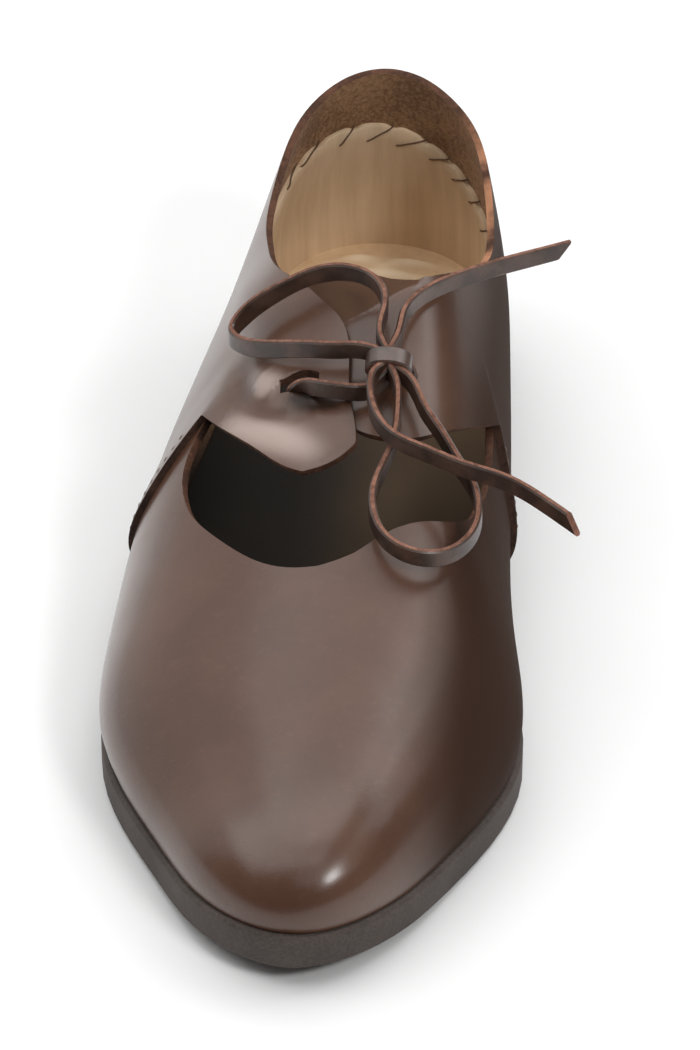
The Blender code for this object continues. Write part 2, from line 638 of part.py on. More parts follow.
def strap(name, route, stand, parent):
    """Flat strip along a route, its width as near to the stand direction as the route lets it."""
    spots = np.array(route, float)
    reach = np.concatenate([[0], np.cumsum(np.linalg.norm(np.diff(spots, axis=0), axis=1))])
    curve = open_curve(reach, spots)
    places = np.linspace(0, reach[-1], max(3, int(round(reach[-1] / LACE_STEP)) + 1))
    middle = curve(places)
    ahead = curve(places + SMALL_STEP) - curve(places - SMALL_STEP)
    ahead /= np.linalg.norm(ahead, axis=1)[:, None]
    width = np.array(stand) - ahead * (ahead @ np.array(stand))[:, None]
    width *= LACE_WIDTH / 2 / np.linalg.norm(width, axis=1)[:, None]
    thick = np.cross(ahead, width) * LACE_THICK / LACE_WIDTH
    rings = np.stack([middle + width + thick, middle + width - thick,
                      middle - width - thick, middle - width + thick], 1)
    last = 4 * (len(places) - 1)
    faces = [(0, 1, 2, 3), (last + 3, last + 2, last + 1, last)]
    for start in range(0, last, 4):
        for side in range(4):
            turn = (side + 1) % 4
            faces.append((start + side, start + 4 + side, start + 4 + turn, start + turn))
    return solid(name, rings.reshape(-1, 3), faces, "lace", parent)


def knot(parent):
    """Rounded lump that the turns of the lace make in the middle of the bow."""
    points = [(0, 0, -1)]
    for ring in range(1, KNOT_RINGS):
        lift = -pi / 2 + pi * ring / KNOT_RINGS
        for turn in range(KNOT_TURNS):
            spin = 2 * pi * turn / KNOT_TURNS
            points.append((np.cos(lift) * np.cos(spin), np.cos(lift) * np.sin(spin), np.sin(lift)))
    points.append((0, 0, 1))
    points = np.array(points)
    points = np.sign(points) * np.abs(points)**KNOT_BLUNT * np.array(KNOT_HALF) + np.array(KNOT_MIDDLE)
    top = len(points) - 1
    faces = []
    for turn in range(KNOT_TURNS):
        nxt = (turn + 1) % KNOT_TURNS
        faces.append((0, 1 + nxt, 1 + turn))
        faces.append((top, top - KNOT_TURNS + turn, top - KNOT_TURNS + nxt))
        for ring in range(KNOT_RINGS - 2):
            low = 1 + ring * KNOT_TURNS
            high = low + KNOT_TURNS
            faces.append((low + turn, low + nxt, high + nxt, high + turn))
    return solid("lace_knot", points, faces, "lace", parent)


def slit(target, name, middle, size, parent):
    """Cuts the hole that the lace passes through."""
    corner = np.array([(x, y, z) for z in (-0.5, 0.5) for y in (-0.5, 0.5) for x in (-0.5, 0.5)])
    faces = [(0, 2, 3, 1), (4, 5, 7, 6), (0, 1, 5, 4), (2, 6, 7, 3), (0, 4, 6, 2), (1, 3, 7, 5)]
    cutter = solid(name, corner * np.array(size) + np.array(middle), faces, "leather", parent)
    cutter.hide_render = True
    cutter.display_type = "WIRE"
    cut = target.modifiers.new(name, "BOOLEAN")
    cut.operation = "DIFFERENCE"
    cut.object = cutter


def lace(upper, parent):
    strap("lace_loop_side", LOOP_SIDE, UPRIGHT, parent)
    strap("lace_loop_front", LOOP_FRONT, UPRIGHT, parent)
    strap("lace_end_upper", END_UPPER, UPRIGHT, parent)
    strap("lace_end_lower", END_LOWER, UPRIGHT, parent)
    strap("lace_bar_outer", BAR_OUTER, UPRIGHT, parent)
    strap("lace_bar_inner", BAR_INNER, ACROSS, parent)
    knot(parent)
    width = LACE_THICK + 2 * SLIT_ROOM
    slit(upper, "slit_outer", BAR_SLIT, (SLANT_LENGTH, width, SLIT_DEPTH), parent)
    slit(upper, "slit_inner", BAR_INNER[1], (LACE_WIDTH + 2 * SLIT_ROOM, width, SLIT_DEPTH), parent)


def build():
    for old in list(bpy.data.objects):
        bpy.data.objects.remove(old)
    shoe = bpy.data.objects.new("shoe", None)
    bpy.context.collection.objects.link(shoe)
    shoe.location = (-MIDDLE_X * MM, -MIDDLE_Y * MM, 0.0)
    outsole(shoe)
    insole(shoe)
    upper = solid("upper", *thick_sheet(upper_sheet()), "leather", shoe)
    heel_stiffener(shoe)
    lace(upper, shoe)


build()
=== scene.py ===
import math

import bmesh
import bpy
import numpy as np
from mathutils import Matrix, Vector
from mathutils.bvhtree import BVHTree


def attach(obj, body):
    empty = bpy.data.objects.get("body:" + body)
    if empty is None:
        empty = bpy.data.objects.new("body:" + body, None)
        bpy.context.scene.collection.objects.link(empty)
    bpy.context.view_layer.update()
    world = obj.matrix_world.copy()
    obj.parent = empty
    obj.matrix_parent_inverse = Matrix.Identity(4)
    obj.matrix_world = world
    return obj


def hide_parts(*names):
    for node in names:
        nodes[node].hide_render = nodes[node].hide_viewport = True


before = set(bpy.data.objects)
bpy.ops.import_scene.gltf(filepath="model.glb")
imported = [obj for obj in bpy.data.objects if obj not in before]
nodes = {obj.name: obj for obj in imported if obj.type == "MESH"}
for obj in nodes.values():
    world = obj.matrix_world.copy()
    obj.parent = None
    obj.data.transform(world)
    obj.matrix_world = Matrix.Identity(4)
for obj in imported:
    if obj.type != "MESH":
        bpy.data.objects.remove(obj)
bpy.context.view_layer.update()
drawnFrom = (2.5, -145.3, 0.0)  # mm, the drawing point at the toe seen from the frame's origin
print("frame loaded:", len(nodes), "nodes")


def spot(x, y, z):  # a drawing point in mm, as metres in the frame
    return Vector((x + drawnFrom[0], y + drawnFrom[1], z + drawnFrom[2])) / 1000


def spots(rows):
    return [spot(*row) for row in rows]


# camera: the photo's own standpoint, turned to this shoe, with a longer lens
cameraSet = {"place": (82.0, -958.0, 869.0), "aim": (3.5, 137.0, 34.0), "lens": 188.0, "longSide": 36.0}


def addCamera():
    place = spot(*cameraSet["place"])
    turn = (spot(*cameraSet["aim"]) - place).to_track_quat("-Z", "Y").to_euler()
    bpy.ops.object.camera_add(location=place, rotation=turn)
    camera = bpy.context.object
    camera.data.lens = cameraSet["lens"]
    camera.data.sensor_width = cameraSet["longSide"]
    bpy.context.scene.camera = camera


addCamera()
print("camera set")


# small tools

def justThis(piece):  # only this piece is selected and active
    bpy.ops.object.select_all(action="DESELECT")
    piece.select_set(True)
    bpy.context.view_layer.objects.active = piece


def applyAll(piece):
    justThis(piece)
    for modifier in list(piece.modifiers):
        bpy.ops.object.modifier_apply(modifier=modifier.name)


def linkMesh(name, points, faces):
    mesh = bpy.data.meshes.new(name)
    mesh.from_pydata([tuple(p) for p in points], [], faces)
    piece = bpy.data.objects.new(name, mesh)
    bpy.context.collection.objects.link(piece)
    return piece


mergeSet = {"near": 0.00001, "facing": 0.9, "shape": 1.2}


def copyNode(nodeName, pieceName):  # a merged copy of a solid, with quads where they can be had
    piece = bpy.data.objects.new(pieceName, nodes[nodeName].data.copy())
    piece.data.name = pieceName
    piece.data.materials.clear()
    bpy.context.collection.objects.link(piece)
    justThis(piece)
    bpy.ops.mesh.customdata_custom_splitnormals_clear()
    bpy.ops.object.mode_set(mode="EDIT")
    bpy.ops.mesh.select_all(action="SELECT")
    bpy.ops.mesh.remove_doubles(threshold=mergeSet["near"])
    bpy.ops.mesh.tris_convert_to_quads(face_threshold=mergeSet["facing"], shape_threshold=mergeSet["shape"])
    bpy.ops.object.mode_set(mode="OBJECT")
    return piece


def creaseSharp(piece, angle, amount):  # hold the cut edges while the rest is rounded
    mesh = bmesh.new()
    mesh.from_mesh(piece.data)
    layer = mesh.edges.layers.float.get("crease_edge") or mesh.edges.layers.float.new("crease_edge")
    for edge in mesh.edges:
        if len(edge.link_faces) == 2 and edge.calc_face_angle() > angle:
            edge[layer] = amount
    mesh.to_mesh(piece.data)
    mesh.free()


def rounded(piece, levels):
    modifier = piece.modifiers.new("round", "SUBSURF")
    modifier.levels = levels
    modifier.render_levels = levels
    applyAll(piece)


def readPoints(piece):
    flat = np.zeros(len(piece.data.vertices) * 3)
    piece.data.vertices.foreach_get("co", flat)
    return flat.reshape(-1, 3)


def writePoints(piece, points):
    piece.data.vertices.foreach_set("co", np.asarray(points, float).ravel())
    piece.data.update()


def readEdges(piece):
    ends = np.zeros(len(piece.data.edges) * 2, int)
    piece.data.edges.foreach_get("vertices", ends)
    return ends.reshape(-1, 2)


def smoothShade(piece, angle):
    justThis(piece)
    bpy.ops.object.shade_smooth_by_angle(angle=angle)


def unit(rows):  # vectors in rows, each made one long
    return rows / np.linalg.norm(rows, axis=-1, keepdims=True)


def treeOf(piece):
    return BVHTree.FromObject(piece, bpy.context.evaluated_depsgraph_get())


finePerRow = 40  # points a row by which a curve's length is measured


def smoothLine(rows, step):  # evenly spaced points on a smooth curve through the rows
    rows = np.array([tuple(row) for row in rows], float)
    reach = np.concatenate([[0], np.cumsum(np.linalg.norm(np.diff(rows, axis=0), axis=1))])
    span = np.diff(reach)
    count = len(rows)
    system = np.eye(count)
    pull = np.zeros_like(rows)
    for k in range(1, count - 1):
        system[k, k - 1:k + 2] = span[k - 1], 2 * (span[k - 1] + span[k]), span[k]
        pull[k] = 6 * ((rows[k + 1] - rows[k]) / span[k] - (rows[k] - rows[k - 1]) / span[k - 1])
    bend = np.linalg.solve(system, pull)

    def at(place):
        low = np.clip(np.searchsorted(reach, place, side="right") - 1, 0, count - 2)
        width = span[low][:, None]
        part = ((place - reach[low]) / span[low])[:, None]
        rest = 1 - part
        return (rows[low] * rest + rows[low + 1] * part
                + ((rest**3 - rest) * bend[low] + (part**3 - part) * bend[low + 1]) * width**2 / 6)

    fine = at(np.linspace(0, reach[-1], finePerRow * count))
    run = np.concatenate([[0], np.cumsum(np.linalg.norm(np.diff(fine, axis=0), axis=1))])
    even = np.linspace(0, run[-1], max(3, int(round(run[-1] / step)) + 1))
    return np.stack([np.interp(even, run, fine[:, k]) for k in range(3)], -1)


tubeSet = {"sides": 6, "step": 0.7, "upright": (0.31, 0.22, 0.92), "end": 0.55, "smooth": 1.0}


def tubes(name, lines, thick):  # thin round threads, each along its own points
    points = []
    faces = []
    sides = tubeSet["sides"]
    for line in lines:
        line = smoothLine(line, thick * tubeSet["step"])
        ahead = unit(np.gradient(line, axis=0))
        side = unit(np.cross(ahead, tubeSet["upright"]))
        rise = np.cross(side, ahead)
        start = len(points)
        last = len(line) - 1
        for k, p in enumerate(line):
            fat = thick / 2 * (tubeSet["end"] if k in (0, last) else 1.0)
            for n in range(sides):
                turn = 2 * math.pi * n / sides
                points.append(p + (side[k] * math.cos(turn) + rise[k] * math.sin(turn)) * fat)
        for k in range(last):
            for n in range(sides):
                low = start + k * sides
                nxt = (n + 1) % sides
                faces.append((low + n, low + nxt, low + sides + nxt, low + sides + n))
        faces.append(tuple(start + sides - 1 - n for n in range(sides)))
        faces.append(tuple(start + last * sides + n for n in range(sides)))
    piece = linkMesh(name, points, faces)
    justThis(piece)
    bpy.ops.object.mode_set(mode="EDIT")
    bpy.ops.mesh.select_all(action="SELECT")
    bpy.ops.mesh.normals_make_consistent(inside=False)
    bpy.ops.object.mode_set(mode="OBJECT")
    smoothShade(piece, tubeSet["smooth"])
    return piece


# shader maths

class Wire:  # a socket that can be added, multiplied and so on
    def __init__(self, finish, socket):
        self.finish = finish
        self.socket = socket

    def maths(self, operation, other, swapped=False):
        pair = (other, self) if swapped else (self, other)
        return self.finish.node("Math", {"operation": operation}, {0: pair[0], 1: pair[1]})

    def __add__(self, other):
        return self.maths("ADD", other)

    def __sub__(self, other):
        return self.maths("SUBTRACT", other)

    def __rsub__(self, other):
        return self.maths("SUBTRACT", other, True)

    def __mul__(self, other):
        return self.maths("MULTIPLY", other)

    __radd__ = __add__
    __rmul__ = __mul__


class Finish:  # one material, built node by node
    def __init__(self, name):
        self.material = bpy.data.materials.new(name)
        self.material.use_nodes = True
        self.tree = self.material.node_tree
        self.surface = self.tree.nodes["Principled BSDF"]
        self.place = self.node("TexCoord", out="Object")

    def node(self, kind, settings=None, sockets=None, out=0):
        made = self.tree.nodes.new("ShaderNode" + kind)
        for key, value in (settings or {}).items():
            setattr(made, key, value)
        for key, value in (sockets or {}).items():
            self.feed(made.inputs[key], value)
        return Wire(self, made.outputs[out])

    def feed(self, socket, value):
        if isinstance(value, Wire):
            self.tree.links.new(value.socket, socket)
        else:
            socket.default_value = (*value, 1.0) if socket.type == "RGBA" and len(value) == 3 else value

    def blend(self, share, low, high):  # a colour between two
        return self.node("Mix", {"data_type": "RGBA"}, {0: share, 6: low, 7: high}, out=2)

    def noise(self, scale, detail=3.0, roughness=0.55, place=None):
        return self.node("TexNoise", None, {"Vector": place or self.place, "Scale": scale, "Detail": detail,
                                            "Roughness": roughness})

    def cells(self, scale):
        return self.node("TexVoronoi", {"feature": "SMOOTH_F1"}, {"Vector": self.place, "Scale": scale})

    def axis(self, letter):  # one coordinate of the place
        return self.node("SeparateXYZ", None, {"Vector": self.place}, out=letter)

    def painted(self, layer):  # a value kept on the mesh
        return self.node("Attribute", {"attribute_name": layer}, out="Fac")

    def ramp(self, value, low, high):  # 0 below low, 1 above high
        return self.node("MapRange", {"interpolation_type": "SMOOTHSTEP"},
                         {"Value": value, "From Min": low, "From Max": high})

    def stretched(self, scale):  # coordinates pulled along an axis
        return self.node("Mapping", None, {"Vector": self.place, "Scale": scale})

    def finish(self, colour, roughness, height=None, depth=0.0002, strength=0.5, **rest):
        self.feed(self.surface.inputs["Base Color"], colour)
        self.feed(self.surface.inputs["Roughness"], roughness)
        for key, value in rest.items():
            self.feed(self.surface.inputs[key.replace("_", " ")], value)
        if height is not None:
            bump = self.node("Bump", None, {"Height": height, "Distance": depth, "Strength": strength})
            self.feed(self.surface.inputs["Normal"], bump)
        return self.material


def screen(red, green, blue):  # a colour as a screen shows it, made linear
    return tuple((c / 255 / 12.92) if c <= 10 else ((c / 255 + 0.055) / 1.055)**2.4 for c in (red, green, blue))


# finishes

# (172, 152, 142) is a painted highlight on the flap's folds; (44, 26, 16) is painted shade in fold troughs, under
# the lace strap and on the inner side
grainSet = {"dark": (80, 52, 38), "main": (93, 63, 47), "pale": (106, 78, 62), "turned": (84, 59, 43),
            "paintedShade": (44, 26, 16), "paintedLight": (172, 152, 142),
            "cloud": 38.0, "streak": 16.0, "streakPull": (1.0, 0.35, 1.0), "cloudShare": 0.6,
            "tone": (0.36, 0.64), "fleck": 420.0, "fleckFrom": (0.56, 0.74), "fleckShare": 0.14,
            "turnedFrom": (-0.4, 0.4), "pore": 1500.0, "poreFrom": (0.0, 0.6), "fine": 2600.0, "dent": 110.0,
            "poreShare": 0.7, "fineShare": 0.3, "dentShare": 0.5, "depth": 0.00006, "strength": 0.55,
            "roughness": 0.38, "cloudRough": 0.10, "fineRough": 0.05, "turnedRough": 0.4, "dullRough": 0.45,
            "polish": 0.66, "toePolish": 0.26, "toeFrom": (0.095, 0.125), "shadePolish": 0.7,
            "sidePolish": 0.34, "sideFrom": (0.034, 0.050), "sideTo": (-0.01, 0.03),
            "dullShadedFrom": (0.022, 0.040), "sideShadeShare": 0.88, "gloss": 0.2, "coatRough": 0.24}


def grainLeather():
    f = Finish("grainLeather")
    cloud = f.noise(grainSet["cloud"], 4.0)
    streak = f.noise(grainSet["streak"], 3.0, 0.6, f.stretched(grainSet["streakPull"]))
    tone = f.ramp(cloud * grainSet["cloudShare"] + streak * (1 - grainSet["cloudShare"]), *grainSet["tone"])
    colour = f.blend(tone, screen(*grainSet["dark"]), screen(*grainSet["main"]))
    fleck = f.ramp(f.noise(grainSet["fleck"], 2.0), *grainSet["fleckFrom"])
    colour = f.blend(fleck * grainSet["fleckShare"], colour, screen(*grainSet["pale"]))
    # painted highlight where the mesh value is above 0, painted shade where it is below
    paintedLight = f.painted("paintedLight")
    colour = f.blend(f.ramp(paintedLight, 0.0, 1.0), colour, screen(*grainSet["paintedLight"]))
    shade = f.ramp(0.0 - paintedLight, 0.0, 1.0)
    colour = f.blend(shade, colour, screen(*grainSet["paintedShade"]))
    turned = f.ramp(f.painted("turned"), *grainSet["turnedFrom"])
    colour = f.blend(turned, colour, screen(*grainSet["turned"]))
    pore = f.ramp(f.cells(grainSet["pore"]), *grainSet["poreFrom"])
    fine = f.noise(grainSet["fine"], 2.0)
    dent = f.noise(grainSet["dent"], 3.0)
    height = pore * grainSet["poreShare"] + fine * grainSet["fineShare"] + dent * grainSet["dentShare"]
    across = f.axis("X")
    ahead = 0.0 - f.axis("Y")
    dullShaded = f.ramp(across, *grainSet["dullShadedFrom"])  # the inner side: a duller finish, and painted shade in its colour
    toe = f.ramp(ahead, *grainSet["toeFrom"])
    side = f.ramp(0.0 - across, *grainSet["sideFrom"]) * f.ramp(ahead, *grainSet["sideTo"])
    polish = toe * grainSet["toePolish"] + side * grainSet["sidePolish"] + grainSet["polish"]
    coat = (1 - turned) * (1 - dullShaded) * (1 - shade * grainSet["shadePolish"]) * polish
    # painted shade: the inner side's colour darkened
    colour = f.blend(dullShaded * grainSet["sideShadeShare"], colour, screen(*grainSet["paintedShade"]))
    rough = (grainSet["roughness"] + (cloud - 0.5) * grainSet["cloudRough"] + fine * grainSet["fineRough"]
             + turned * grainSet["turnedRough"] + dullShaded * grainSet["dullRough"])
    return f.finish(colour, rough, height, grainSet["depth"], grainSet["strength"], Coat_Weight=coat,
                    Specular_IOR_Level=grainSet["gloss"], Coat_Roughness=grainSet["coatRough"])


fleshSet = {"dark": (126, 93, 65), "pale": (184, 145, 108), "front": (58, 42, 31), "frontFrom": (0.035, 0.075),
            "nap": 900.0, "patch": 60.0, "napShare": 0.6, "tone": (0.36, 0.66), "depth": 0.0003, "strength": 0.6,
            "roughness": 0.93, "gloss": 0.2, "sheen": 0.08, "sheenRough": 0.6}


def fleshLeather():  # the rough inside of the hide, with painted shade under the vamp
    f = Finish("fleshLeather")
    nap = f.noise(fleshSet["nap"], 3.0, 0.7)
    patch = f.noise(fleshSet["patch"], 4.0)
    tone = f.ramp(nap * fleshSet["napShare"] + patch * (1 - fleshSet["napShare"]), *fleshSet["tone"])
    colour = f.blend(tone, screen(*fleshSet["dark"]), screen(*fleshSet["pale"]))
    # painted shade towards the toe, under the vamp
    colour = f.blend(f.ramp(f.axis("Y"), *fleshSet["frontFrom"]), screen(*fleshSet["front"]), colour)
    return f.finish(colour, fleshSet["roughness"], nap, fleshSet["depth"], fleshSet["strength"],
                    Specular_IOR_Level=fleshSet["gloss"], Sheen_Weight=fleshSet["sheen"],
                    Sheen_Roughness=fleshSet["sheenRough"])


edgeSet = {"dark": (64, 42, 31), "pale": (104, 70, 53), "warmLit": (200, 142, 106), "laceDark": (96, 65, 52),
           "lacePale": (154, 110, 92), "seamDark": (40, 27, 21), "seamPale": (74, 50, 40),
           "fibre": 700.0, "patch": 90.0, "fibreShare": 0.55, "tone": (0.36, 0.66),
           "depth": 0.0003, "strength": 0.6,
           "warmLitAcross": (0.022, 0.033), "warmLitAlong": (0.055, 0.075), "warmLitPatch": (0.30, 0.62), "warmLitShare": 0.7,
           "roughness": 0.82, "gloss": 0.25}


def cutEdge(name, dark, pale, warmLit=None):  # the last colour: the collar's cut edge on the inner side, warmer in tone and painted paler as a highlight
    f = Finish(name)
    fibre = f.noise(edgeSet["fibre"], 4.0, 0.7)
    patch = f.noise(edgeSet["patch"], 3.0)
    tone = f.ramp(fibre * edgeSet["fibreShare"] + patch * (1 - edgeSet["fibreShare"]), *edgeSet["tone"])
    colour = f.blend(tone, screen(*dark), screen(*pale))
    if warmLit:
        # painted highlight, in a warmer tone, on the inner side's collar edge
        spread = f.ramp(f.axis("X"), *edgeSet["warmLitAcross"]) * f.ramp(f.axis("Y"), *edgeSet["warmLitAlong"])
        spread = spread * f.ramp(patch, *edgeSet["warmLitPatch"])
        colour = f.blend(spread * edgeSet["warmLitShare"], colour, screen(*warmLit))
    return f.finish(colour, edgeSet["roughness"], fibre, edgeSet["depth"], edgeSet["strength"],
                    Specular_IOR_Level=edgeSet["gloss"])


laceSkinSet = {"dark": (56, 39, 31), "pale": (86, 62, 51), "mottle": 140.0, "tone": (0.35, 0.68), "fine": 1500.0,
               "depth": 0.0002, "strength": 0.4, "roughness": 0.42, "fineRough": 0.2, "polish": 0.22,
               "knotPolish": 0.6, "coatRough": 0.22}


def laceSkin(name, polish):
    f = Finish(name)
    tone = f.ramp(f.noise(laceSkinSet["mottle"], 4.0), *laceSkinSet["tone"])
    colour = f.blend(tone, screen(*laceSkinSet["dark"]), screen(*laceSkinSet["pale"]))
    fine = f.noise(laceSkinSet["fine"], 3.0)
    rough = laceSkinSet["roughness"] + (fine - 0.5) * laceSkinSet["fineRough"]
    return f.finish(colour, rough, fine, laceSkinSet["depth"], laceSkinSet["strength"],
                    Coat_Weight=polish, Coat_Roughness=laceSkinSet["coatRough"])


tanSet = {"shade": (30, 23, 16), "lit": (92, 72, 50), "dark": (208, 179, 144), "main": (236, 209, 175),
          "sock": (222, 190, 150), "pale": (240, 212, 174), "ruckHighlight": (255, 234, 202),
          "streak": 260.0, "streakPull": (1.0, 1.0, 0.06), "cloud": 24.0, "streakShare": 0.55,
          "tone": (0.24, 0.76), "litFrom": (-0.012, 0.024), "ruckHighlightFrom": (0.1, 0.9),
          "heelFrom": (0.090, 0.112), "grain": 1100.0, "grainShare": 0.4, "depth": 0.0003, "strength": 0.45,
          "roughness": 0.72, "cloudRough": 0.15, "gloss": 0.35}


def tanLeather(name, low, high, front=None):  # front: the painted shade colour under the vamp
    f = Finish(name)
    streak = f.noise(tanSet["streak"], 3.0, 0.55, f.stretched(tanSet["streakPull"]))
    cloud = f.noise(tanSet["cloud"], 3.0)
    tone = f.ramp(streak * tanSet["streakShare"] + cloud * (1 - tanSet["streakShare"]), *tanSet["tone"])
    colour = f.blend(tone, screen(*low), screen(*high))
    if front:
        # painted shade under the vamp, lit towards the inner side
        hidden = f.blend(f.ramp(f.axis("X"), *tanSet["litFrom"]), screen(*front), screen(*tanSet["lit"]))
        # painted highlight along the sock's rucks
        colour = f.blend(f.ramp(f.painted("ruckHighlight"), *tanSet["ruckHighlightFrom"]), colour, screen(*tanSet["ruckHighlight"]))
        colour = f.blend(f.ramp(f.axis("Y"), *tanSet["heelFrom"]), hidden, colour)
    grain = f.noise(tanSet["grain"], 3.0)
    height = grain * tanSet["grainShare"] + streak * (1 - tanSet["grainShare"])
    rough = tanSet["roughness"] + (cloud - 0.5) * tanSet["cloudRough"]
    return f.finish(colour, rough, height, tanSet["depth"], tanSet["strength"],
                    Specular_IOR_Level=tanSet["gloss"])


rubberSet = {"dark": (58, 50, 46), "pale": (86, 76, 70), "grit": 1300.0, "cloud": 45.0, "gritShare": 0.5,
             "tone": (0.34, 0.68), "depth": 0.0002, "strength": 0.5, "roughness": 0.66, "gritRough": 0.2,
             "gloss": 0.4}


def soleRubber():
    f = Finish("soleRubber")
    grit = f.noise(rubberSet["grit"], 3.0, 0.6)
    cloud = f.noise(rubberSet["cloud"], 4.0)
    tone = f.ramp(grit * rubberSet["gritShare"] + cloud * (1 - rubberSet["gritShare"]), *rubberSet["tone"])
    colour = f.blend(tone, screen(*rubberSet["dark"]), screen(*rubberSet["pale"]))
    rough = rubberSet["roughness"] + (grit - 0.5) * rubberSet["gritRough"]
    return f.finish(colour, rough, grit, rubberSet["depth"], rubberSet["strength"],
                    Specular_IOR_Level=rubberSet["gloss"])


threadSet = {"dark": (86, 61, 45), "pale": (128, 97, 73), "darkSeam": (92, 70, 58), "paleSeam": (132, 110, 96),
             "twist": 900.0, "wobble": 1.5, "depth": 0.0002, "strength": 0.5, "roughness": 0.6}


def waxThread(name, dark, pale):
    f = Finish(name)
    twist = f.node("TexWave", {"wave_type": "BANDS", "bands_direction": "DIAGONAL"},
                   {"Vector": f.place, "Scale": threadSet["twist"], "Distortion": threadSet["wobble"]}, out=1)
    colour = f.blend(twist, screen(*dark), screen(*pale))
    return f.finish(colour, threadSet["roughness"], twist, threadSet["depth"], threadSet["strength"])


leatherGrain = grainLeather()
leatherFlesh = fleshLeather()
leatherEdge = cutEdge("cutEdge", edgeSet["dark"], edgeSet["pale"], edgeSet["warmLit"])
laceEdge = cutEdge("laceEdge", edgeSet["laceDark"], edgeSet["lacePale"])
seamEdge = cutEdge("seamEdge", edgeSet["seamDark"], edgeSet["seamPale"])
laceGrain = laceSkin("laceSkin", laceSkinSet["polish"])
knotGrain = laceSkin("knotSkin", laceSkinSet["knotPolish"])
stiffenerTan = tanLeather("stiffenerTan", tanSet["dark"], tanSet["main"])
insoleTan = tanLeather("insoleTan", tanSet["sock"], tanSet["pale"], tanSet["shade"])
rubber = soleRubber()
darkThread = waxThread("darkThread", threadSet["dark"], threadSet["pale"])
seamThread = waxThread("seamThread", threadSet["darkSeam"], threadSet["paleSeam"])
print("finishes made")


# the lace: two halves, each from its slit through the knot, round a loop, and out as a free end
laceSet = {"width": 4.8, "thick": 1.8, "corner": 0.42, "step": 1.1, "sway": 0.05, "swayLength": 23.0,
           "swayFat": 0.6, "swayTurn": 0.5, "slant": 4.0, "tipRows": 3, "smooth": 0.7, "turnLength": 6.0,
           "outerLength": 0.236, "innerLength": 0.226}
barOuter = [(-11.2, 150.4, 60.4), (-10.8, 149.8, 65.6), (-8.0, 146.6, 69.4), (-2.0, 143.6, 71.0),
            (3.4, 143.2, 70.8), (7.6, 144.2, 70.6), (10.8, 146.4, 72.4)]
barInner = [(16.2, 152.2, 60.4), (16.2, 152.2, 66.0), (16.2, 152.2, 72.2)]
loopSide = [(9.6, 156.4, 78.0), (10.3, 164.0, 82.0), (7.5, 171.5, 84.2), (-0.5, 175.5, 84.6),
            (-9.0, 175.8, 82.6), (-18.0, 174.8, 77.6), (-26.0, 173.4, 71.0), (-28.8, 170.6, 67.4),
            (-26.6, 166.0, 67.8), (-20.5, 160.6, 70.4), (-8.2, 154.4, 75.4), (0.0, 152.6, 76.8),
            (5.9, 152.4, 77.0)]
loopFront = [(13.9, 145.2, 73.6), (15.3, 139.0, 70.4), (15.2, 132.5, 67.4), (13.6, 124.5, 64.4),
             (11.2, 116.5, 62.0), (11.2, 107.4, 60.4), (14.8, 99.4, 58.6), (21.4, 95.2, 57.4),
             (27.8, 96.0, 56.4), (33.4, 101.2, 55.8), (36.7, 110.6, 56.4), (35.7, 119.0, 58.6),
             (30.6, 126.0, 63.4), (26.6, 131.5, 67.0), (21.6, 138.5, 70.2), (17.0, 145.8, 73.6)]
endUpper = [(13.9, 156.1, 77.8), (15.0, 162.0, 80.4), (18.0, 169.6, 80.9), (24.6, 178.2, 80.0),
            (35.4, 187.6, 78.8), (45.2, 194.2, 78.0), (53.6, 199.4, 77.6)]
endLower = [(9.4, 145.4, 75.2), (8.4, 139.0, 73.6), (10.2, 131.6, 72.0), (15.2, 125.0, 70.4),
            (23.4, 121.0, 69.2), (32.3, 117.6, 67.8), (44.2, 114.6, 65.8), (53.2, 109.2, 64.0),
            (60.3, 103.3, 62.9)]
knotMiddle = (12.3, 149.8, 75.2)


def strip(name, line, stands, tipSlant, closed=False):  # a flat lace; stands: the way its width points
    width, thick = (laceSet[k] / 2000 for k in ("width", "thick"))  # half sizes
    corner = laceSet["corner"] / 1000
    half = [(width, thick - corner), (width - corner, thick), (corner - width, thick), (-width, thick - corner)]
    profile = half + [(-u, -v) for u, v in half]
    count = len(line)
    ahead = unit(np.roll(line, -1, 0) - np.roll(line, 1, 0) if closed else np.gradient(line, axis=0))
    across = unit(stands - ahead * np.sum(ahead * stands, 1)[:, None])
    through = np.cross(ahead, across)
    run = np.arange(count) * laceSet["step"]
    sway = laceSet["sway"] * np.sin(2 * math.pi * run / laceSet["swayLength"])
    points = []
    for k in range(count):
        fat = 1 + laceSet["swayFat"] * sway[k]
        cut = 0.0 if closed else max(0.0, 1 - (count - 1 - k) / laceSet["tipRows"])  # the end is cut on the slant
        for u, v in profile:
            lean = v + laceSet["swayTurn"] * sway[k] * u
            tip = tipSlant / 2000 * u / width * cut
            points.append(line[k] + across[k] * u * fat + through[k] * lean + ahead[k] * tip)
    size = len(profile)
    faces = []
    finishes = []
    for k in range(count if closed else count - 1):
        nxt = (k + 1) % count
        for side in range(size):
            turn = (side + 1) % size
            faces.append((k * size + side, nxt * size + side, nxt * size + turn, k * size + turn))
            finishes.append(1 if side in (3, 7) else 0)
    if not closed:
        faces.append(tuple(range(size)))
        faces.append(tuple(count * size - 1 - k for k in range(size)))
        finishes += [1, 1]
    piece = linkMesh(name, points, faces)
    piece.data.materials.append(knotGrain if closed else laceGrain)
    piece.data.materials.append(laceEdge)
    piece.data.polygons.foreach_set("material_index", finishes)
    smoothShade(piece, laceSet["smooth"])
    return piece


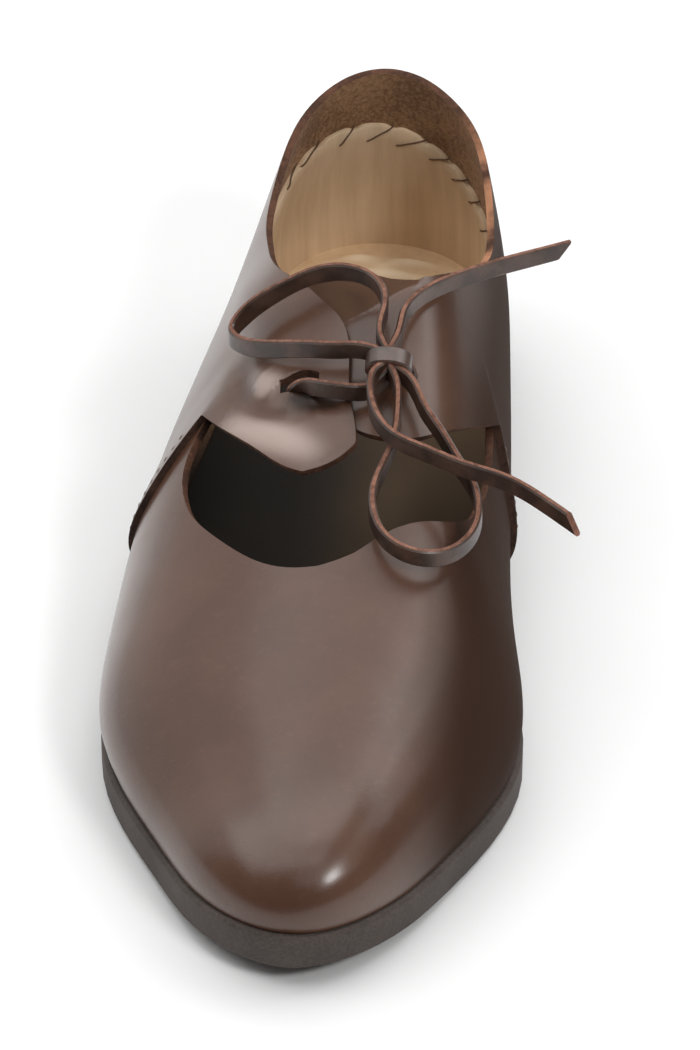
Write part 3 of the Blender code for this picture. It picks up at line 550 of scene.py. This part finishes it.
def standsAlong(line, bar, stand):  # the strip stands upright, and turns to its slit at the start
    share = np.clip((np.arange(len(line)) * laceSet["step"] - bar) / laceSet["turnLength"], 0, 1)[:, None]
    return np.array(stand) * (1 - share) + np.array((0.0, 0.0, 1.0)) * share


def laceHalf(name, bar, loop, end, barStand, barLength, slant, hides):
    rows = spots(bar + [knotMiddle] + loop + [knotMiddle] + end)
    line = smoothLine(rows, laceSet["step"] / 1000)
    piece = strip(name, line, standsAlong(line, barLength, barStand), slant)
    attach(piece, "root")
    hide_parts(*hides)
    run = float(np.linalg.norm(np.diff(line, axis=0), axis=1).sum())
    print(name, "is", round(run, 4), "m long")


knotSet = {"wide": 5.0, "deep": 3.0, "lean": 0.36, "turns": 40, "droop": 0.7, "square": 0.8, "rise": 0.5}


def knotBand():  # the turn of lace that holds the bow together
    out = np.array((0.0, -knotSet["lean"], math.sqrt(1 - knotSet["lean"]**2)))
    along = np.array((0.0, out[2], knotSet["lean"]))
    middle = np.array(spot(*knotMiddle))
    line = []
    for k in range(knotSet["turns"]):
        c, s = (way(2 * math.pi * k / knotSet["turns"]) for way in (math.cos, math.sin))
        wide, deep = (math.copysign(abs(v)**knotSet["square"], v) for v in (c, s))  # a circle made squarer
        deep = knotSet["deep"] * deep - knotSet["droop"] * max(0.0, c)
        wide = np.array((knotSet["wide"] * wide, 0, 0))
        line.append(middle + (wide + out * deep + along * knotSet["rise"] * s) / 1000)
    piece = strip("laceKnot", np.array(line), np.tile(along, (len(line), 1)), 0.0, True)
    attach(piece, "root")
    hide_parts("lace_knot")
    return piece


knot = knotBand()
laceHalf("laceOuterHalf", barOuter, loopSide, endLower, (-1, 0, 0.1), 7.0,
         -laceSet["slant"], ["lace_bar_outer", "lace_loop_side", "lace_end_lower"])
laceHalf("laceInnerHalf", barInner, loopFront, endUpper, (1, 0, 0), 10.0,
         laceSet["slant"], ["lace_bar_inner", "lace_loop_front", "lace_end_upper"])
print("lace tied")


# the upper: cut edges held, leather rounded, folds pressed in
upperSet = {"levels": 2, "sharp": 0.62, "hold": 0.85, "smooth": 0.8, "toeTop": (0.0, 60.0, 60.0),
            "heelInside": (3.0, 283.0, 45.0), "nearness": 9.0, "facing": 0.01,
            "foldStep": 0.0012, "foldFade": 0.6, "evenShare": 0.6}
upperFolds = [  # line on the leather, height and half width of the fold in mm; then a painted highlight (above 0) or painted shade (below 0) and its half width
    {"line": [(-20.6, 156.6, 63.8), (-18.4, 152.9, 64.7), (-16.6, 149.6, 65.4)], "height": 2.8, "reach": 5.2,
     "paintedLight": 1.0, "paintedLightReach": 4.6},
    {"line": [(-26.5, 162.0, 61.3), (-25.0, 156.6, 61.4), (-22.6, 150.4, 61.6), (-17.6, 145.0, 63.0),
              (-12.1, 143.0, 64.6), (-5.2, 143.4, 66.3)], "height": -1.6, "reach": 3.8,
     "paintedLight": -0.55, "paintedLightReach": 2.6},
    {"line": [(-30.0, 149.0, 55.0), (-19.0, 138.4, 60.2), (-11.5, 133.6, 61.2), (-1.5, 127.6, 59.8)],
     "height": 0.9, "reach": 5.0, "paintedLight": 1.0, "paintedLightReach": 5.4},
    {"line": [(-21.9, 138.0, 55.9), (-16.8, 131.6, 56.6), (-11.0, 126.0, 57.0), (-2.8, 125.6, 58.6)],
     "height": -0.6, "reach": 4.6, "paintedLight": 0.0, "paintedLightReach": 1.0},
    {"line": [(-13.5, 147.4, 65.4), (-8.5, 145.6, 66.4), (-3.0, 143.6, 67.0), (1.5, 142.8, 67.2)],
     "height": -0.5, "reach": 3.0, "paintedLight": -1.3, "paintedLightReach": 2.4},
    {"line": [(-5.0, 7.6, 23.5), (3.0, 5.8, 24.2), (10.0, 7.6, 24.6), (18.0, 14.0, 24.6)],
     "height": 1.7, "reach": 7.0, "paintedLight": 0.0, "paintedLightReach": 1.0},
]
slitSet = {"left": (-14.6, 149.8), "right": (-5.0, 151.4), "long": 15.0, "open": 2.8, "reach": 4.0,
           "low": 58.0, "high": 74.0, "rise": 0.3}
evenSet = [  # where the leather is smoothed: middle and reach in mm, rounds
    {"middle": (-19.0, 151.0, 64.5), "reach": 11.0, "rounds": 22},
    {"middle": (5.5, 15.0, 31.0), "reach": 15.0, "rounds": 60},
]


def evenOut(piece, middle, reach, rounds):  # smooths the grain side round a place and leaves its cut edges
    points = readPoints(piece)
    ends = readEdges(piece)
    free = np.ones(len(points), bool)
    for face in piece.data.polygons:
        if face.material_index:
            free[list(face.vertices)] = False
    both = np.concatenate([ends, ends[:, ::-1]])
    count = np.bincount(both[:, 0], minlength=len(points))
    gap = np.linalg.norm(points - np.array(spot(*middle)), axis=1) * 1000
    share = (upperSet["evenShare"] * free * np.exp(-(gap / reach)**4))[:, None]
    for each in range(rounds):
        around = [np.bincount(both[:, 0], points[both[:, 1], k], len(points)) for k in range(3)]
        points += share * (np.stack(around, -1) / count[:, None] - points)
    writePoints(piece, points)


def openSlit(piece):  # the lace lifts the slit's upper lip
    points = readPoints(piece)
    left, right = (np.array(spot(*slitSet[k], 0.0)) * 1000 for k in ("left", "right"))
    seen = points * 1000
    across = (seen[:, 0] - left[0]) / (right[0] - left[0])
    above = seen[:, 1] - (left[1] + across * (right[1] - left[1]))
    along = (seen[:, 0] - (left[0] + right[0]) / 2) / slitSet["long"]
    lens = np.cos(np.pi * np.clip(along, -0.5, 0.5))**2
    inside = (above > 0) & (seen[:, 2] > slitSet["low"]) & (seen[:, 2] < slitSet["high"])
    shift = np.where(inside, slitSet["open"] * lens * np.exp(-(above / slitSet["reach"])**2), 0.0)
    points[:, 1] += shift / 1000
    points[:, 2] += shift * slitSet["rise"] / 1000
    writePoints(piece, points)


def pressFolds(piece):  # each fold fades out towards both ends of its line
    points = readPoints(piece)
    paintedLight = np.zeros(len(points))
    tree = treeOf(nodes["upper"])
    for fold in upperFolds:
        line = smoothLine(spots(fold["line"]), upperSet["foldStep"])
        outward = unit(np.array([tree.find_nearest(Vector(p))[1] for p in line]).mean(0))
        gap = np.linalg.norm(points[:, None] - line[None], axis=2)
        fade = np.sin(np.pi * (gap.argmin(1) + 0.5) / len(line))**upperSet["foldFade"]
        gap = gap.min(1) * 1000
        points += outward * (np.exp(-(gap / fold["reach"])**2) * fade * fold["height"] / 1000)[:, None]
        # each fold also paints a highlight (above 0) or shade (below 0) on the mesh
        paintedLight += np.exp(-(gap / fold["paintedLightReach"])**2) * fade * fold["paintedLight"]
    writePoints(piece, points)
    piece.data.attributes.new("paintedLight", "FLOAT", "POINT").data.foreach_set("value", paintedLight)


def regionOf(seeds, angle):  # faces reached from the seeds without crossing a sharp edge
    found = set()
    todo = list(seeds)
    while todo:
        face = todo.pop()
        if face.index in found:
            continue
        found.add(face.index)
        for edge in face.edges:
            if len(edge.link_faces) == 2 and edge.calc_face_angle() < angle:
                todo += [f for f in edge.link_faces if f.index not in found]
    return found


seamLines = {  # front edge of each quarter, sole to ear, in mm
    "outer": [(-48.9, 144.3, 10.6), (-52.0, 143.3, 17.2), (-51.9, 143.0, 23.4), (-49.8, 144.1, 29.4),
              (-46.6, 146.7, 35.0), (-42.8, 150.0, 40.5), (-38.7, 153.3, 45.7), (-34.3, 156.6, 50.7)],
    "inner": [(39.6, 150.9, 10.9), (42.8, 150.1, 16.9), (43.6, 150.0, 22.6), (43.2, 151.0, 28.0),
              (42.1, 153.5, 33.0), (40.9, 157.1, 37.6), (39.5, 160.8, 42.1), (38.1, 164.5, 46.4)],
}
seamEdgeSet = {"step": 0.001, "reach": 0.0032, "facing": -0.3}  # which edge faces are the quarter's front edge


innerFlapSet = {  # the flap underneath, which fills the gap behind the bow
    "seed": (22.0, 160.0, 72.0), "low": (-16.0, 120.0, 45.0), "high": (40.0, 200.0, 90.0),
    "pulls": [((-9.7, 175.7, 72.5), (-3.0, 12.6, -1.2)), ((-2.1, 179.4, 77.0), (-2.4, 6.4, 0.2)),
              ((4.9, 180.0, 79.4), (-0.6, 2.4, 0.5)), ((-10.2, 168.7, 70.4), (-2.0, 9.0, -0.6))],
    "pullReach": 5.5,
    "strip": [(-16.0, 167.5), (0.0, 169.4), (5.3, 171.6), (12.0, 176.2), (17.5, 179.9), (19.0, 183.0),
              (20.0, 260.0)],
    "dip": 0.7, "dipBlur": 1.5, "colourBlur": 1.25, "farOff": -25.0}


def innerFlap(piece):  # which points belong to the flap underneath
    box = [np.array(spot(*innerFlapSet[k])) for k in ("low", "high")]
    points = readPoints(piece)
    inside = np.all((points > box[0]) & (points < box[1]), axis=1)
    ends = readEdges(piece)
    ends = ends[inside[ends].all(1)]
    found = np.zeros(len(points), bool)
    gap = np.linalg.norm(points - np.array(spot(*innerFlapSet["seed"])), axis=1)
    found[np.argmin(np.where(inside, gap, np.inf))] = True
    while True:
        more = ends[found[ends].any(1)].ravel()
        if found[more].all():
            return found
        found[more] = True


def shapeInnerFlap(piece):  # pulls its corner back under the other flap, and lowers the turned strip
    found = innerFlap(piece)
    points = readPoints(piece)
    places, pulls = (np.array(rows) for rows in zip(*innerFlapSet["pulls"]))
    gap = np.linalg.norm(points[found][:, None] - np.array(spots(places))[None], axis=2) * 1000
    weight = np.exp(-(gap / innerFlapSet["pullReach"])**2)
    weight /= np.maximum(weight.sum(1), 1.0)[:, None]
    points[found] += weight @ pulls / 1000
    line = np.array([spot(x, y, 0.0)[:2] for x, y in innerFlapSet["strip"]])
    beyond = (points[:, 1] - np.interp(points[:, 0], line[:, 0], line[:, 1])) * 1000
    beyond = np.where(found, beyond, innerFlapSet["farOff"])
    points[:, 2] -= np.clip(beyond / innerFlapSet["dipBlur"] + 0.5, 0, 1) * innerFlapSet["dip"] / 1000
    writePoints(piece, points)
    turned = beyond / innerFlapSet["colourBlur"]
    piece.data.attributes.new("turned", "FLOAT", "POINT").data.foreach_set("value", turned)


def dressUpper():
    piece = copyNode("upper", "upperLeather")
    mesh = bmesh.new()
    mesh.from_mesh(piece.data)
    mesh.faces.ensure_lookup_table()
    middles = {face: face.calc_center_median() for face in mesh.faces}
    toeTop, heelInside = (spot(*upperSet[k]) for k in ("toeTop", "heelInside"))
    vamp = max(middles, key=lambda f: f.normal.z - upperSet["nearness"] * (
        abs(middles[f].y - toeTop.y) + toeTop.z - middles[f].z))
    heel = max(middles, key=lambda f: middles[f].y + upperSet["facing"] * f.normal.y)
    grain = regionOf([vamp, heel], upperSet["sharp"])
    inner = min((f for f in middles if f.index not in grain), key=lambda f: (middles[f] - heelInside).length)
    flesh = regionOf([inner], upperSet["sharp"])
    print("upper:", len(middles), "faces,", len(grain), "grain,", len(flesh), "flesh")
    seam = np.concatenate([smoothLine(spots(rows), seamEdgeSet["step"]) for rows in seamLines.values()])
    for face, middle in middles.items():
        face.material_index = 0 if face.index in grain else 1 if face.index in flesh else 2
        if face.material_index == 2 and face.normal.y < seamEdgeSet["facing"]:
            gap = np.linalg.norm(seam - np.array(middle), axis=1).min()
            face.material_index = 3 if gap < seamEdgeSet["reach"] else 2
    mesh.to_mesh(piece.data)
    mesh.free()
    for finish in (leatherGrain, leatherFlesh, leatherEdge, seamEdge):
        piece.data.materials.append(finish)
    creaseSharp(piece, upperSet["sharp"], upperSet["hold"])
    rounded(piece, upperSet["levels"])
    pressFolds(piece)
    for place in evenSet:
        evenOut(piece, **place)
    openSlit(piece)
    shapeInnerFlap(piece)
    smoothShade(piece, upperSet["smooth"])
    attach(piece, "root")
    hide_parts("upper")
    return piece


upper = dressUpper()
print("upper dressed")


stitchSet = {"behind": 2.4, "pitch": 3.4, "long": 2.2, "thick": 0.45, "proud": -0.10, "sink": 0.4, "step": 0.2,
             "first": 20, "last": 12, "span": 10, "tilt": 0.35, "off": 4.0}


def seamStitches():  # a row of machine stitches just behind each quarter's front edge
    tree = treeOf(upper)
    lines = []
    for side, rows in seamLines.items():
        line = smoothLine(spots(rows), stitchSet["step"] / 1000)
        outward = Vector((-1.0 if side == "outer" else 1.0, 0.0, stitchSet["tilt"])).normalized()
        row = []
        for k in range(stitchSet["first"], len(line) - stitchSet["last"]):
            along = Vector(line[k + stitchSet["span"]] - line[k - stitchSet["span"]]).normalized()
            back = along.cross(outward).normalized()
            back = back if back.y > 0 else -back
            start = Vector(line[k]) + (back * stitchSet["behind"] + outward * stitchSet["off"]) / 1000
            place, normal, face, gap = tree.find_nearest(start)
            row.append((np.array(place), np.array(normal)))
        run = np.concatenate([[0], np.cumsum([np.linalg.norm(b[0] - a[0]) for a, b in zip(row, row[1:])])]) * 1000
        reach = stitchSet["pitch"]
        while reach + stitchSet["long"] < run[-1]:
            bit = []
            for share, lift in ((0.0, -stitchSet["sink"]), (0.25, stitchSet["proud"]), (0.75, stitchSet["proud"]),
                                (1.0, -stitchSet["sink"])):
                place, normal = row[int(np.searchsorted(run, reach + share * stitchSet["long"]))]
                bit.append(place + normal * lift / 1000)
            lines.append(bit)
            reach += stitchSet["pitch"]
    piece = tubes("seamStitches", lines, stitchSet["thick"] / 1000)
    piece.data.materials.append(seamThread)
    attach(piece, "root")
    print("seam stitches:", len(lines))


seamStitches()


# sole pieces
outsoleSet = {"sharp": 0.5, "edge": 0.35, "steps": 2, "smooth": 0.6}
treadSet = {"first": 20.0, "last": 280.0, "pitch": 5.6, "wide": 1.8, "deep": 0.9, "below": 1.0, "margin": 7.0,
            "near": 9.0, "flat": 0.6, "leastPoints": 4, "leastMargins": 4}


def treadGrooves(piece):  # cross grooves under the ball and the heel, ending inside the sole's edge
    points = readPoints(piece) * 1000
    flat = points[points[:, 2] < treadSet["flat"]]
    corners = []
    faces = []
    for row in np.arange(treadSet["first"], treadSet["last"], treadSet["pitch"]):
        middle = row + drawnFrom[1]
        near = flat[np.abs(flat[:, 1] - middle) < treadSet["near"]]
        few = len(near) < treadSet["leastPoints"]
        if few or np.ptp(near[:, 0]) < treadSet["leastMargins"] * treadSet["margin"]:
            continue
        start = len(corners)
        for x in (near[:, 0].min() + treadSet["margin"], near[:, 0].max() - treadSet["margin"]):
            for y in (middle - treadSet["wide"] / 2, middle + treadSet["wide"] / 2):
                corners += [(x / 1000, y / 1000, z / 1000) for z in (-treadSet["below"], treadSet["deep"])]
        for face in ((0, 1, 3, 2), (4, 6, 7, 5), (0, 4, 5, 1), (2, 3, 7, 6), (0, 2, 6, 4), (1, 5, 7, 3)):
            faces.append(tuple(start + k for k in face))
    cutter = linkMesh("treadCutter", corners, faces)
    cut = piece.modifiers.new("tread", "BOOLEAN")
    cut.object = cutter
    cut.operation = "DIFFERENCE"
    cut.solver = "EXACT"
    applyAll(piece)
    bpy.data.objects.remove(cutter)
    print("tread grooves:", len(faces) // 6)


def dressOutsole():
    piece = copyNode("outsole", "outsoleRubber")
    piece.data.materials.append(rubber)
    bevel = piece.modifiers.new("edge", "BEVEL")
    bevel.width = outsoleSet["edge"] / 1000
    bevel.segments = outsoleSet["steps"]
    bevel.limit_method = "ANGLE"
    bevel.angle_limit = outsoleSet["sharp"]
    applyAll(piece)
    treadGrooves(piece)
    smoothShade(piece, outsoleSet["smooth"])
    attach(piece, "root")
    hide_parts("outsole")


dressOutsole()

insoleSet = {"cuts": 5, "smooth": 0.8, "step": 0.001,
             "middleLine": ((-0.14, 0.0155), (0.0, 0.0118), (0.14, 0.0175))}  # along and up, halfway through it
insoleWaves = [  # soft rucks in the heel of the sock
    {"line": [(-15.0, 271.0, 18.7), (-5.0, 276.5, 18.7), (5.0, 277.5, 18.7)], "height": 1.6, "reach": 1.9},
    {"line": [(0.0, 271.5, 18.7), (10.0, 275.5, 18.7), (20.0, 272.0, 18.7)], "height": 1.7, "reach": 1.9},
    {"line": [(-12.0, 265.5, 18.7), (3.0, 270.0, 18.7), (17.0, 266.5, 18.7)], "height": 1.7, "reach": 2.2},
]


def dressInsole():
    piece = copyNode("insole", "insoleSock")
    piece.data.materials.append(insoleTan)
    justThis(piece)
    bpy.ops.object.mode_set(mode="EDIT")
    bpy.ops.mesh.select_all(action="SELECT")
    bpy.ops.mesh.subdivide(number_cuts=insoleSet["cuts"])
    bpy.ops.object.mode_set(mode="OBJECT")
    points = readPoints(piece)
    top = points[:, 2] > np.interp(points[:, 1], *zip(*insoleSet["middleLine"]))
    ruckHighlight = np.zeros(len(points))
    for wave in insoleWaves:
        line = smoothLine(spots(wave["line"]), insoleSet["step"])
        gap = np.linalg.norm(points[:, None, :2] - line[None, :, :2], axis=2)
        fade = np.sin(np.pi * (gap.argmin(1) + 0.5) / len(line))
        share = np.exp(-(gap.min(1) / (wave["reach"] / 1000))**2) * fade
        points[:, 2] += np.where(top, share * wave["height"] / 1000, 0.0)
        # these values mark a painted highlight along each ruck
        ruckHighlight += share
    writePoints(piece, points)
    piece.data.attributes.new("ruckHighlight", "FLOAT", "POINT").data.foreach_set("value", ruckHighlight)
    smoothShade(piece, insoleSet["smooth"])
    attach(piece, "root")
    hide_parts("insole")


dressInsole()
print("sole dressed")


stiffenerEdge = [(-33.1, 241.8, 36.6), (-30.1, 250.3, 43.3), (-27.6, 258.3, 47.9), (-24.8, 265.7, 51.8),
                 (-21.4, 272.3, 54.7), (-16.8, 277.9, 56.9), (-10.9, 282.1, 58.4), (-4.2, 284.9, 59.4),
                 (3.0, 286.0, 59.2), (10.3, 285.3, 57.4), (17.3, 283.1, 54.4), (23.6, 279.2, 50.7),
                 (28.7, 273.9, 46.6), (32.6, 267.4, 41.9), (35.4, 259.8, 36.9), (37.3, 251.4, 32.1),
                 (38.4, 242.5, 28.1)]
stiffenerSet = {"sharp": 0.7, "hold": 0.6, "levels": 3, "smooth": 0.8, "middle": (3.0, 240.0, 45.0), "step": 0.4,
                "dip": 1.2, "dipReach": 1.6, "raise": 0.35, "reach": 2.4, "thin": 1.0, "thinFrom": 0.3,
                "rim": 4.0, "footTop": 30.0, "footFade": 8.0, "down": 5.0}
whipSet = {"thick": 0.5, "proud": 0.10, "sink": 0.5, "off": 12.0}
whipRuns = [  # each stitch from the top edge down to the tan leather, in mm
    [(-20.2, 270.6, 54.6), (-23.0, 263.0, 49.6)], [(-14.6, 276.6, 57.2), (-18.9, 269.0, 52.6)],
    [(-5.6, 281.8, 58.9), (-9.9, 279.4, 53.6)], [(4.8, 283.2, 58.2), (-2.9, 282.4, 53.6)],
    [(13.8, 281.4, 55.4), (5.0, 283.2, 52.2)], [(20.2, 277.8, 52.0), (14.4, 280.8, 49.8)],
    [(25.4, 273.8, 48.2), (20.8, 277.3, 46.0)], [(29.0, 269.0, 44.6), (25.8, 272.2, 42.4)],
    [(32.2, 262.6, 39.8), (29.8, 266.4, 37.4)],
]


def edgeRun():  # the stiffener's top edge, and the angle of its points seen from inside the heel
    edge = smoothLine(spots(stiffenerEdge), stiffenerSet["step"] / 1000)
    middle = np.array(spot(*stiffenerSet["middle"]))[:2]
    return edge, middle, np.arctan2(edge[:, 0] - middle[0], edge[:, 1] - middle[1])


def dressStiffener():  # its edge dips under each stitch
    piece = copyNode("heel_stiffener", "heelStiffener")
    piece.data.materials.append(stiffenerTan)
    creaseSharp(piece, stiffenerSet["sharp"], stiffenerSet["hold"])
    rounded(piece, stiffenerSet["levels"])
    points = readPoints(piece)
    edge, middle, turns = edgeRun()
    run = np.arange(len(edge)) * stiffenerSet["step"]
    turn = np.arctan2(points[:, 0] - middle[0], points[:, 1] - middle[1])
    along = np.interp(turn, turns, run)
    below = (np.interp(turn, turns, edge[:, 2]) - points[:, 2]) * 1000
    share = np.exp(-(np.maximum(below, 0) / stiffenerSet["reach"])**2)
    pressed = np.zeros(len(points))
    for top, low in whipRuns:
        place = np.array(spot(*top))[:2] - middle
        at = np.interp(np.arctan2(place[0], place[1]), turns, run)
        pressed = np.maximum(pressed, np.exp(-((along - at) / stiffenerSet["dipReach"])**2))
    inward = unit(middle - points[:, :2])
    apart = np.linalg.norm(points[:, None, :2] - edge[None, ::3, :2], axis=2).min(1) * 1000
    inside = np.clip(apart / stiffenerSet["thin"] - stiffenerSet["thinFrom"], 0, 1)
    inside *= below < stiffenerSet["rim"]
    points[:, 2] += share * (stiffenerSet["raise"] - pressed) * stiffenerSet["dip"] / 1000
    points[:, :2] -= inward * (share * inside * stiffenerSet["thin"] / 1000)[:, None]  # thinner at its edge
    foot = np.clip((stiffenerSet["footTop"] - points[:, 2] * 1000) / stiffenerSet["footFade"], 0, 1)
    points[:, 2] -= foot * stiffenerSet["down"] / 1000  # its foot goes down to the insole
    writePoints(piece, points)
    smoothShade(piece, stiffenerSet["smooth"])
    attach(piece, "root")
    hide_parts("heel_stiffener")
    return piece


def whipStitches(stiffener):  # slanted stitches over the stiffener's top edge
    tree = treeOf(stiffener)
    middle = spot(*stiffenerSet["middle"])
    lines = []
    for top, low in whipRuns:
        bit = []
        for share, lift in ((0.0, 0.0), (0.12, 1.0), (0.5, 1.0), (0.88, 1.0), (1.0, 0.0)):
            place = spot(*top).lerp(spot(*low), share)
            inward = middle - place
            inward.z = 0
            inward.normalize()
            found, normal, face, gap = tree.ray_cast(place + inward * whipSet["off"] / 1000, -inward)
            found = place if found is None else found
            height = whipSet["proud"] * lift - whipSet["sink"] * (1 - lift)
            bit.append(np.array(found + inward * height / 1000))
        lines.append(bit)
    piece = tubes("whipStitches", lines, whipSet["thick"] / 1000)
    piece.data.materials.append(darkThread)
    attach(piece, "root")
    print("whip stitches:", len(lines))


whipStitches(dressStiffener())
print("heel stiffener dressed")


# floor and light
floorSet = {"size": 8.0, "colour": (0.93, 0.93, 0.93), "roughness": 0.6}
lightSet = [
    {"name": "ceiling", "place": (-0.1, 1.0, 1.9), "aim": (0, 0, 0.03), "size": (1.8, 1.8), "power": 12.0},
    {"name": "left", "place": (-1.40, 0.97, 1.15), "aim": (0, 0, 0.03), "size": (2.8, 2.6), "power": 18.5},
    {"name": "leftTop", "place": (-1.12, -0.16, 1.56), "aim": (0, -0.1, 0.03), "size": (1.1, 1.1), "power": 6.5},
    {"name": "right", "place": (0.80, 1.02, 1.58), "aim": (0, 0, 0.03), "size": (1.2, 1.0), "power": 10.0},
    {"name": "rightTop", "place": (1.34, 0.40, 1.29), "aim": (0, -0.05, 0.05), "size": (1.0, 0.9), "power": 4.0},
    {"name": "top", "place": (-0.1, -0.05, 1.85), "aim": (-0.1, -0.04, 0.0), "size": (1.2, 1.2), "power": 5.5},
    {"name": "overhead", "place": (0.94, -0.92, 1.29), "aim": (0, -0.13, 0), "size": (0.46, 0.34), "power": 10.0},
    {"name": "front", "place": (0.05, -1.0, 1.90), "aim": (0, 0.0, 0.05), "size": (1.3, 1.3), "power": 3.5},
]
skySet = {"colour": (1.0, 1.0, 1.0), "strength": 0.08}


def addFloor():
    bpy.ops.object.select_all(action="DESELECT")
    bpy.ops.mesh.primitive_plane_add(size=floorSet["size"])
    floor = bpy.context.object
    floor.name = "floor"
    f = Finish("floorPaint")
    floor.data.materials.append(f.finish(floorSet["colour"], floorSet["roughness"]))


def addLights():
    for light in lightSet:
        place = Vector(light["place"])
        turn = (Vector(light["aim"]) - place).to_track_quat("-Z", "Y").to_euler()
        bpy.ops.object.light_add(type="AREA", location=place, rotation=turn)
        lamp = bpy.context.object
        lamp.name = light["name"] + "Light"
        lamp.data.energy = light["power"]
        lamp.data.shape = "RECTANGLE"
        lamp.data.size, lamp.data.size_y = light["size"]
    world = bpy.data.worlds.new("studio")
    world.use_nodes = True
    sky = world.node_tree.nodes["Background"]
    sky.inputs["Color"].default_value = (*skySet["colour"], 1.0)
    sky.inputs["Strength"].default_value = skySet["strength"]
    bpy.context.scene.world = world
    bpy.context.scene.view_settings.view_transform = "Standard"


addFloor()
addLights()
print("floor and light set")
